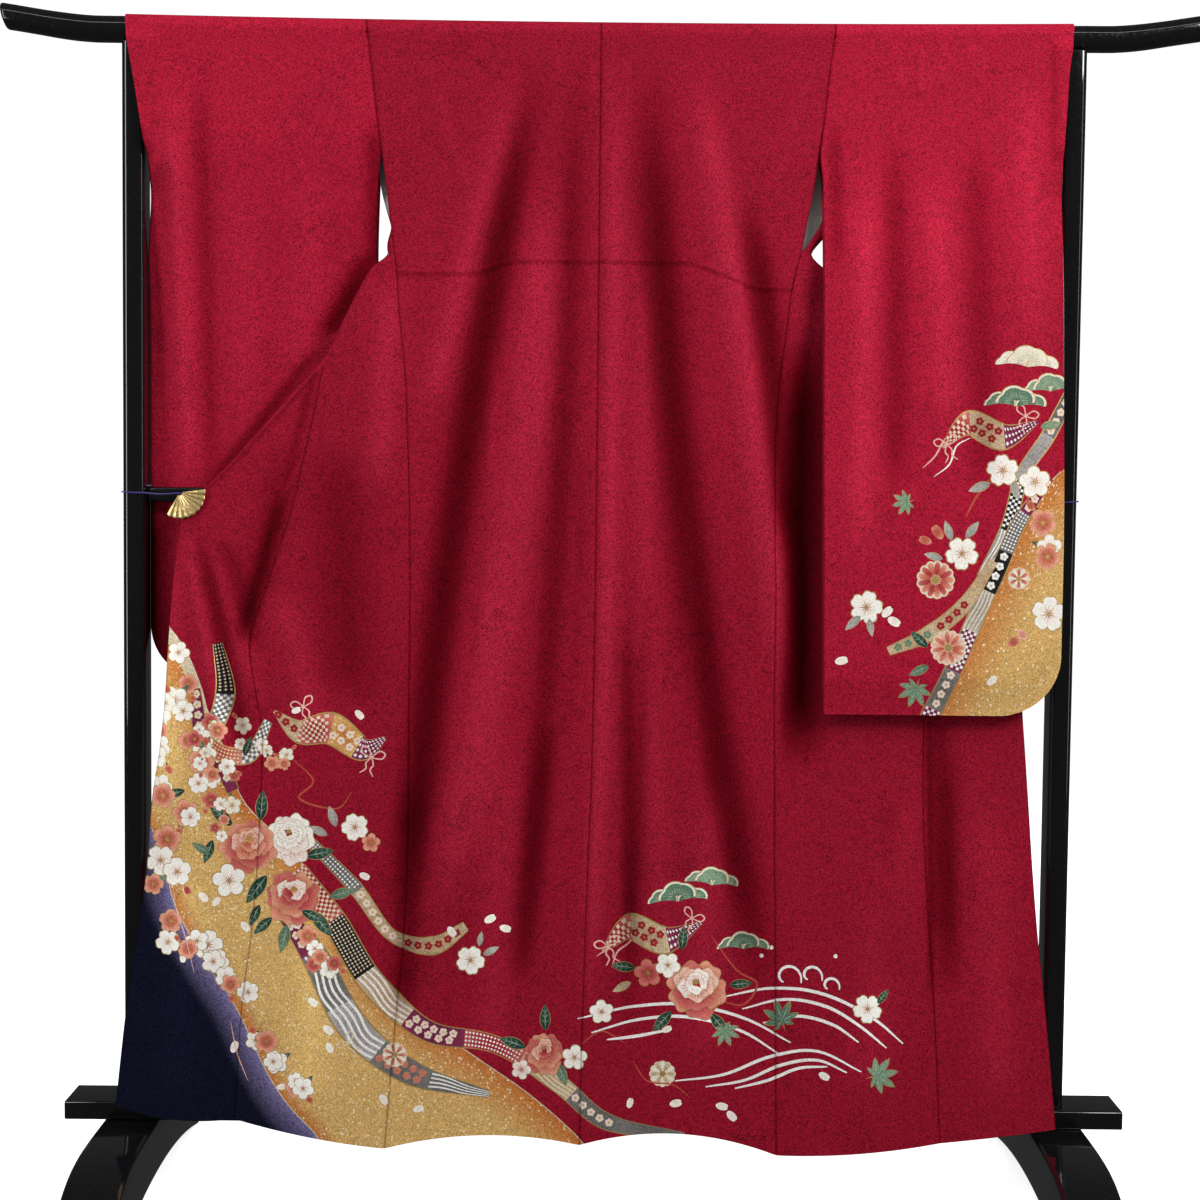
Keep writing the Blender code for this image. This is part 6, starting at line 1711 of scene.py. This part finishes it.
@dataclass
class Furisode:
    """The garment: backs, fronts, overlap panels, sleeves and collar."""

    silk: Material
    lining: Material
    collar_width: float = 0.058
    collar_thick: float = 0.004
    collar_end: float = 1.035

    def build(self) -> None:
        """Cut and dress every piece."""
        cutter = Cutter({"body": body_artwork(), "sleeve_right": sleeve_artwork()})
        for side in Side:
            panels = BackPanel(side), FrontPanel(side, "front"), FrontPanel(side, "okumi"), SleevePanel(side)
            for number, panel in enumerate(panels):
                panel.shift = (1.37 * number + side.value * 7.1, 2.83 * number + side.value * 11.3)
                piece = cutter.cut(panel)
                dress(piece, Slot.SILK, panel.nodes, self.silk, self.lining)
        self.collar()

    def edge(self, side: Side) -> Array:
        """The fronts' inner edge from the clip up to the neck, which the collar is sewn to."""
        okumi, front = FrontPanel(side, "okumi"), FrontPanel(side, "front")
        low = np.linspace(self.collar_end + 0.005, okumi.top - 0.004, 44)
        high = np.linspace(okumi.top + 0.004, 1.636, 40)
        rows = ((okumi, low), (front, high))
        return np.vstack([panel.surface(np.full(len(v), panel.width), v) for panel, v in rows])

    def collar(self) -> None:
        """The collar band: its sewn edge follows the fronts, its free edge lies a collar's width further in."""
        halves = []
        for side in Side:
            edge, k = self.edge(side), side.value
            inward = k * sideways(edge[:, [0, 2]])
            turn = ease((edge[:, 2] - 1.5) / 0.12)[:, None]
            sewn = edge[:, [0, 2]] + inward * SEAM_GAP
            free = sewn + inward * self.collar_width * (1.0 - turn) + np.array([-k * 0.032, -0.035]) * turn
            halves.append(np.hstack([sewn, free, edge[:, 1:2]]))
        top, depth = BACK_EDGE - BAR_SAG - 2 * SEAM_GAP, WRAP - 0.0008
        neck = [(x, top, 0.55 * x, top - self.collar_width, depth) for x in np.linspace(-0.04, 0.04, 13)]
        band = np.vstack([halves[0], neck, halves[1][::-1]])[:, None]
        sewn, free = band[..., :2], band[..., 2:4]
        cos, sin = np.cos(ring(28)), np.sin(ring(28))
        across = 0.5 - 0.5 * np.sign(cos) * np.abs(cos) ** 0.5
        lift = self.collar_thick / 2 * (np.sign(sin) * np.abs(sin) ** 0.35 - 1.0)
        flat = sewn + (free - sewn) * across[:, None]
        y = band[..., 4] + 0.0015 * np.sin(math.pi * across) + lift
        points, faces = tube(np.stack([flat[..., 0], y, flat[..., 1]], -1))
        piece = closed_piece("collar_band", points, faces)
        corners = np.zeros(len(piece.data.loops), np.int32)
        piece.data.loops.foreach_get("vertex_index", corners)
        dye, work = np.tile(CRIMSON.heart, (len(corners), 1)), np.tile(PLAIN_WORK, (len(corners), 1))
        paint(piece.data, dye, work, points[corners][:, [0, 2]])
        dress(piece, Slot.SILK, ["collar"], self.silk)


def rounded(low: float, high: float, bevel: float, steps: int,
            between: Sequence[float] = ()) -> Tuple[Array, Array]:
    """Stations from low to high, and how far a section is drawn in there: a quarter circle rounds both ends."""
    t = np.linspace(0.0, math.pi / 2, steps)
    rise, inset = bevel * (1.0 - np.sin(t)), bevel * (1.0 - np.cos(t))
    stations = np.concatenate([low + rise[::-1], between, high - rise])
    return stations, np.concatenate([inset[::-1], np.zeros(len(between)), inset])


@dataclass
class Stand:
    """The lacquered stand: top bar, posts, crossbar, base beam and bow feet."""

    lacquer: Material
    crossbar: Tuple[float, float, float] = (1.0, 1.022, 0.02)
    beam: Tuple[float, float, float, float] = (0.775, 0.0955, 0.1225, 0.084)
    foot_centre: float = 0.677
    foot_width: float = 0.082
    foot_half_length: float = 0.335
    foot_tip: float = 0.03
    foot_arch: Pair = (0.25, 0.026)
    foot_pad_end: float = 0.325

    def build(self) -> None:
        """Build and dress every part of the stand."""
        self.top_bar()
        inner = POST_OUTER - POST_WIDTH
        middle, top = (inner + POST_OUTER) / 2, BAR_HEIGHT - BAR_RADIUS - 2 * SEAM_GAP
        for side in Side:
            self.rail("post_" + side.word, self.beam[2] + SEAM_GAP, top, (side.value * middle, 0.0),
                      (POST_WIDTH, POST_DEPTH), POST_CORNER)
            self.foot(side)
        low, high, depth = self.crossbar
        reach = inner - SEAM_GAP
        self.rail("crossbar", -reach, reach, (0.0, (low + high) / 2), (depth, high - low), 0.005)
        half, low, high, depth = self.beam
        self.rail("base_beam", -half, half, (0.0, (low + high) / 2), (depth, high - low), 0.003)

    def finish(self, name: str, points: Array, faces: Sequence, angle: float = 40.0) -> None:
        """Make a closed part from its points and faces, smooth but for its sharp edges."""
        dress(closed_piece(name + "_lacquered", points, faces, angle), Slot.LACQUER, [name], self.lacquer)

    def top_bar(self) -> None:
        """A circle carried along the bar's sagging line, drawn in over a small round at each tip."""
        bevel, angle = 0.0045, ring(48)
        between = np.linspace(-BAR_HALF_LENGTH + bevel, BAR_HALF_LENGTH - bevel, 121)[1:-1]
        x, inset = rounded(-BAR_HALF_LENGTH, BAR_HALF_LENGTH, bevel, 7, between)
        lean = 0.004 * np.sign(x) * ease((np.abs(x) - 0.76) / 0.06)
        section = polar(angle) * (BAR_RADIUS - inset)[:, None, None]
        along = x[:, None] + lean[:, None] * np.sin(angle)
        rings = np.stack([along, section[..., 0], (BAR_HEIGHT + bar_shift(x))[:, None] + section[..., 1]], -1)
        self.finish("top_bar", *tube(rings), 50.0)

    def rail(self, name: str, low: float, high: float, centre: Pair, size: Pair,
             corner: float) -> None:
        """A rounded rectangle carried upwards for a post, else sideways, and bevelled at both ends."""
        half, bevel, quarter = np.array(size) / 2, 0.0015, np.linspace(0.0, math.pi / 2, 9)
        signs = ((1, 1), (-1, 1), (-1, -1), (1, -1))
        section = np.vstack([
            sign * (half - corner) + polar(quarter + k * math.pi / 2, corner) for k, sign in enumerate(signs)
        ])
        stations, inset = rounded(low, high, bevel, 5, np.linspace(low + bevel, high - bevel, 26)[1:-1])
        scaled = section * (1.0 - inset[:, None, None] / half) + centre
        along = np.repeat(stations[:, None, None], len(section), 1)
        self.finish(name, *tube(np.concatenate([scaled, along] if "post" in name else [along, scaled], -1)))

    def foot(self, side: Side) -> None:
        """A low bow: its top falls by the fifth power of the way to its tips, its sole is a shallow arch.

        Rings of the same outline are stacked across its width, drawn in over a rounded edge at both faces.
        """
        high, half = self.beam[1] - SEAM_GAP, self.foot_width / 2
        share = np.sin(np.linspace(-math.pi / 2, math.pi / 2, 97))
        top = high - (high - self.foot_tip) * np.abs(share) ** 5
        reach, rise = self.foot_arch
        low_y = self.foot_pad_end * share
        low = rise * np.clip(1.0 - (low_y / reach) ** 2, 0.0, None)
        across, inset = rounded(-half, half, 0.006, 7)
        inset = inset[:, None]
        shrink = 1.0 - inset / self.foot_half_length
        upper = np.stack([self.foot_half_length * share * shrink, top - inset], -1)
        lower = np.stack([low_y * shrink, np.broadcast_to(low, (len(inset), len(low)))], -1)
        outline = np.concatenate([upper, lower[:, ::-1]], 1)
        x = np.broadcast_to((side.value * self.foot_centre + across)[:, None, None], (*outline.shape[:2], 1))
        rows, columns = outline.shape[:2]
        faces = grid_faces(rows, columns, True).tolist()
        for base, turn in ((0, 1), ((rows - 1) * columns, -1)):
            for k in range(len(share) - 1):
                faces.append([base + k, base + k + 1, base + columns - 2 - k, base + columns - 1 - k][::turn])
        self.finish("foot_" + side.word, np.concatenate([x, outline], -1).reshape(-1, 3), faces, 35.0)


@dataclass
class FanClip:
    """A gold fan clip on a spring strip, and the cord that ties it to the post."""

    side: Side
    gold: Material
    violet: Material
    pivot: Pair = (0.6, 1.0145)
    radius: float = 0.036
    start: float = -120.0
    end: float = 8.0
    pleats: int = 9
    plate: float = 0.0016
    rib: float = 0.0011
    jaw_thick: float = 0.0012
    jaw_width: float = 0.01
    jaw_low: float = 0.99
    jaw_inner: float = 0.579
    jaw_outer: float = 0.6025
    jaw_room: float = 0.0072
    cord_radius: float = 0.001
    cord_level: float = 1.0135

    @property
    def fold_face(self) -> float:
        """Depth of the near face of the cloth's fold, level with the clip."""
        push = float(DEPTHS.at("push", 1.0)) if self.side is Side.RIGHT else 0.0
        return float(DEPTHS.at("back", self.jaw_low)) + push

    @property
    def face(self) -> float:
        """Depth of the plane that the fan's flat side lies on."""
        return self.fold_face - self.jaw_thick - 2 * SEAM_GAP

    def build(self) -> None:
        """Build the fan, the spring strip and the cord."""
        word = self.side.word
        fan = closed_piece("fan_" + word, *self.fan(), 32)
        dress(fan, Slot.GOLD, ["fan_clip_" + word], self.gold)
        spring = closed_piece("spring_" + word, *tube(self.jaw() * (self.side.value, 1, 1), False), 40)
        dress(spring, Slot.GOLD, ["clip_jaw_" + word], self.gold)
        dress(closed_piece("tie_" + word, *tube(self.cord(), False)), Slot.CORD, ["cord_" + word], self.violet)

    def fan(self) -> Tuple[Array, Array]:
        """A pleated plate: its near face rises by a triangle wave over the angle, with a scalloped rim."""
        turn = np.radians(np.linspace(self.start, self.end, 24 * self.pleats + 1))[:, None]
        ridge = 1.0 - np.abs(2.0 * (np.linspace(0.0, self.pleats, len(turn)) % 1.0) - 1.0)[:, None]
        shares = np.array([0.0, 0.02, 0.2, 0.45, 0.62, 0.66, 0.7, 0.9, 0.97, 1.0])
        low, high = 0.004, self.radius + 0.0012 * ridge
        r = low + (high - low) * shares
        band = 0.0003 * np.exp(-(((shares - 0.66) / 0.03) ** 2))
        edge = np.minimum(1.0, np.minimum(shares, 1.0 - shares) / 0.02) * 0.0005
        x, z = self.side.value * (self.pivot[0] - r * np.cos(turn)), self.pivot[1] + r * np.sin(turn)
        near = self.face - self.plate + 0.0005 - edge - self.rib * ridge * np.minimum(r / 0.014, 1.0) - band
        points = np.stack([np.stack([x, y, z], -1) for y in (near, np.full(x.shape, self.face))])
        face, rim = grid_faces(*x.shape), grid_rim(*x.shape)
        after = np.roll(rim, -1)
        sides = np.stack([rim, after, after + x.size, rim + x.size], -1)
        return points.reshape(-1, 3), np.concatenate([face[:, ::-1], face + x.size, sides])

    def jaw(self) -> Array:
        """The bent strip of the right-hand clip: a rounded U carried up through its own width."""
        thick, near = self.jaw_thick, self.fold_face - SEAM_GAP
        far = near + self.jaw_room
        bend, t = (far - near) / 2, np.linspace(-math.pi / 2, math.pi / 2, 13)
        centre = (self.jaw_outer - thick - bend, (near + far) / 2)
        tip = [[self.jaw_inner, near], [self.jaw_inner - 0.0006, near - thick * 0.6]]
        end = [[self.jaw_inner - 0.0006, far + thick * 0.6], [self.jaw_inner, far]]
        outline = np.vstack([(centre + polar(t, bend))[::-1], tip, centre + polar(t, bend + thick), end])
        inset = np.array([0.0004, 0.0, 0.0, 0.0004])[:, None, None]
        flat = outline + inset * unit(outline.mean(0) - outline)
        z = self.jaw_low + self.jaw_width * np.array([0.0, 0.03, 0.97, 1.0])
        return np.stack([flat[..., 0], flat[..., 1], np.repeat(z[:, None], len(outline), 1)], -1)

    def route(self) -> Array:
        """The cord's middle line, from behind the fan's pivot round the post and back over the crossbar."""
        clear = 0.0016
        front, back = -POST_DEPTH / 2 - clear, POST_DEPTH / 2 + clear
        outer, inner = POST_OUTER + clear, POST_OUTER - POST_WIDTH - clear
        level, tied, resting = self.cord_level, self.face + SEAM_GAP + self.cord_radius, 1.022 + clear + 0.0002
        points = through([
            (0.5915, tied, level - 0.002), (0.603, tied + 0.0015, level),
            (0.63, tied * 0.72 + front * 0.28, level - 0.0015), (inner + 0.003, front - 0.0022, level),
            ((inner + outer) / 2, front - 0.0008, level), (outer - 0.004, front, level + 0.001),
            (outer, front + 0.006, level + 0.001), (outer, back - 0.006, level + 0.002),
            (outer - 0.005, back, level + 0.003), (inner + 0.006, back, level + 0.008),
            (inner, back - 0.006, resting), (inner, front + 0.009, resting),
        ], 220)
        return points * (self.side.value, 1.0, 1.0)

    def cord(self) -> Array:
        """Two strands laid round each other: the radius swells twice round the section, turning on its way."""
        path, angle = self.route(), ring(14)
        length, along = travelled(path), unit(np.gradient(path, axis=0))
        side = unit(np.cross(along, (0.0, 0.0, 1.0)))
        up = np.cross(side, along)
        twist = 2 * math.pi * length / 0.0055
        swell = 0.8 + 0.24 * np.abs(np.cos(angle - twist[:, None] / 2))
        taper = np.clip(np.minimum(length, length[-1] - length) / 0.001, 0.35, 1.0)
        section = polar(angle, self.cord_radius * swell * taper[:, None])
        return path[:, None] + section[..., :1] * side[:, None] + section[..., 1:] * up[:, None]


@dataclass
class Studio:
    """The plain pale floor, the soft light and the camera at the photograph's angle."""

    position: Tuple[float, float, float] = (0.0017, -3.0, 1.04)
    pitch: float = 3.37
    roll: float = 0.595
    lens: float = 61.62
    ambient: float = 0.21
    mirrored: float = 0.05

    def build(self) -> None:
        """Set up the camera, the floor and the lights."""
        scene = bpy.context.scene
        camera = bpy.data.objects.new("camera", bpy.data.cameras.new("camera"))
        camera.data.lens = self.lens
        camera.data.sensor_width = 36.0
        scene.collection.objects.link(camera)
        tip, lean = math.radians(90.0 - self.pitch), math.radians(self.roll)
        turn = Matrix.Rotation(tip, 4, "X") @ Matrix.Rotation(lean, 4, "Z")
        camera.matrix_world = Matrix.Translation(self.position) @ turn
        scene.camera = camera
        scene.view_settings.view_transform = "Standard"
        self.floor()
        self.light("key", (2.1, -2.2, 2.9), 0.9, (1.1, 1.1), 62.0)
        self.light("fill", (-2.3, -2.1, 1.75), 0.95, (0.7, 2.9), 36.0)
        self.light("edge", (2.5, -1.7, 1.6), 0.95, (0.25, 2.9), 10.0)
        self.light("top", (0.0, -1.0, 4.2), 0.3, (3.0, 2.0), 52.0)
        self.light("strip", (0.0, -1.6, 3.6), 1.2, (5.0, 0.12), 9.0)
        self.light("behind", (0.6, 3.4, 2.2), 0.8, (3.0, 2.4), 40.0)
        scene.world = bpy.data.worlds.new("studio")
        n = NodeBuilder(scene.world, "Background")
        path = n.add("ShaderNodeLightPath")
        seen = n.between(path.outputs["Is Camera Ray"], self.ambient, 1.05)
        n.set(Color=(1.0, 1.0, 1.0), Strength=n.between(path.outputs["Is Glossy Ray"], seen, self.mirrored))

    def floor(self) -> None:
        """A wide plain floor just under the feet."""
        half, z = 14.0, -0.0004
        corners = np.array([(-half, -half, z), (half, -half, z), (half, half, z), (-half, half, z)])
        piece = new_piece("floor", corners, [[0, 1, 2, 3]], smooth=False)
        n = NodeBuilder.material("pale_floor")
        tone = n.ranged(n.noise(n.place, 1.2, 2.0), 0.3, 0.7, 0.0, 1.0)
        n.set(Base_Color=n.mixed(tone, (0.93, 0.93, 0.93), (0.95, 0.95, 0.95)), Roughness=0.75,
              Specular_IOR_Level=0.2, Emission_Color=(1.0, 1.0, 1.0), Emission_Strength=0.85)
        piece.data.materials.append(n.owner)
        piece.visible_glossy = piece.visible_diffuse = False

    def light(self, name: str, place: Colour, target: float, size: Pair, power: float) -> None:
        """One soft rectangular light, turned towards a height on the object's middle line."""
        data = bpy.data.lights.new(name, "AREA")
        data.shape = "RECTANGLE"
        data.size, data.size_y = size
        data.energy = power
        lamp = bpy.data.objects.new(name, data)
        bpy.context.scene.collection.objects.link(lamp)
        lamp.location = place
        lamp.rotation_euler = (Vector((0.0, 0.0, target)) - Vector(place)).to_track_quat("-Z", "Y").to_euler()
        lamp.visible_glossy = name not in ("top", "behind")


def main() -> None:
    """Build the studio, the stand, the clips and the garment, in order."""
    logging.basicConfig(level=logging.INFO, format="%(message)s")
    Studio().build()
    Stand(LacquerFinish().build()).build()
    gold, violet = GoldFinish().build(), CordFinish().build()
    for side in Side:
        FanClip(side, gold, violet).build()
    Furisode(SilkFinish().build(), LiningFinish().build()).build()


if __name__ == "__main__":
    main()
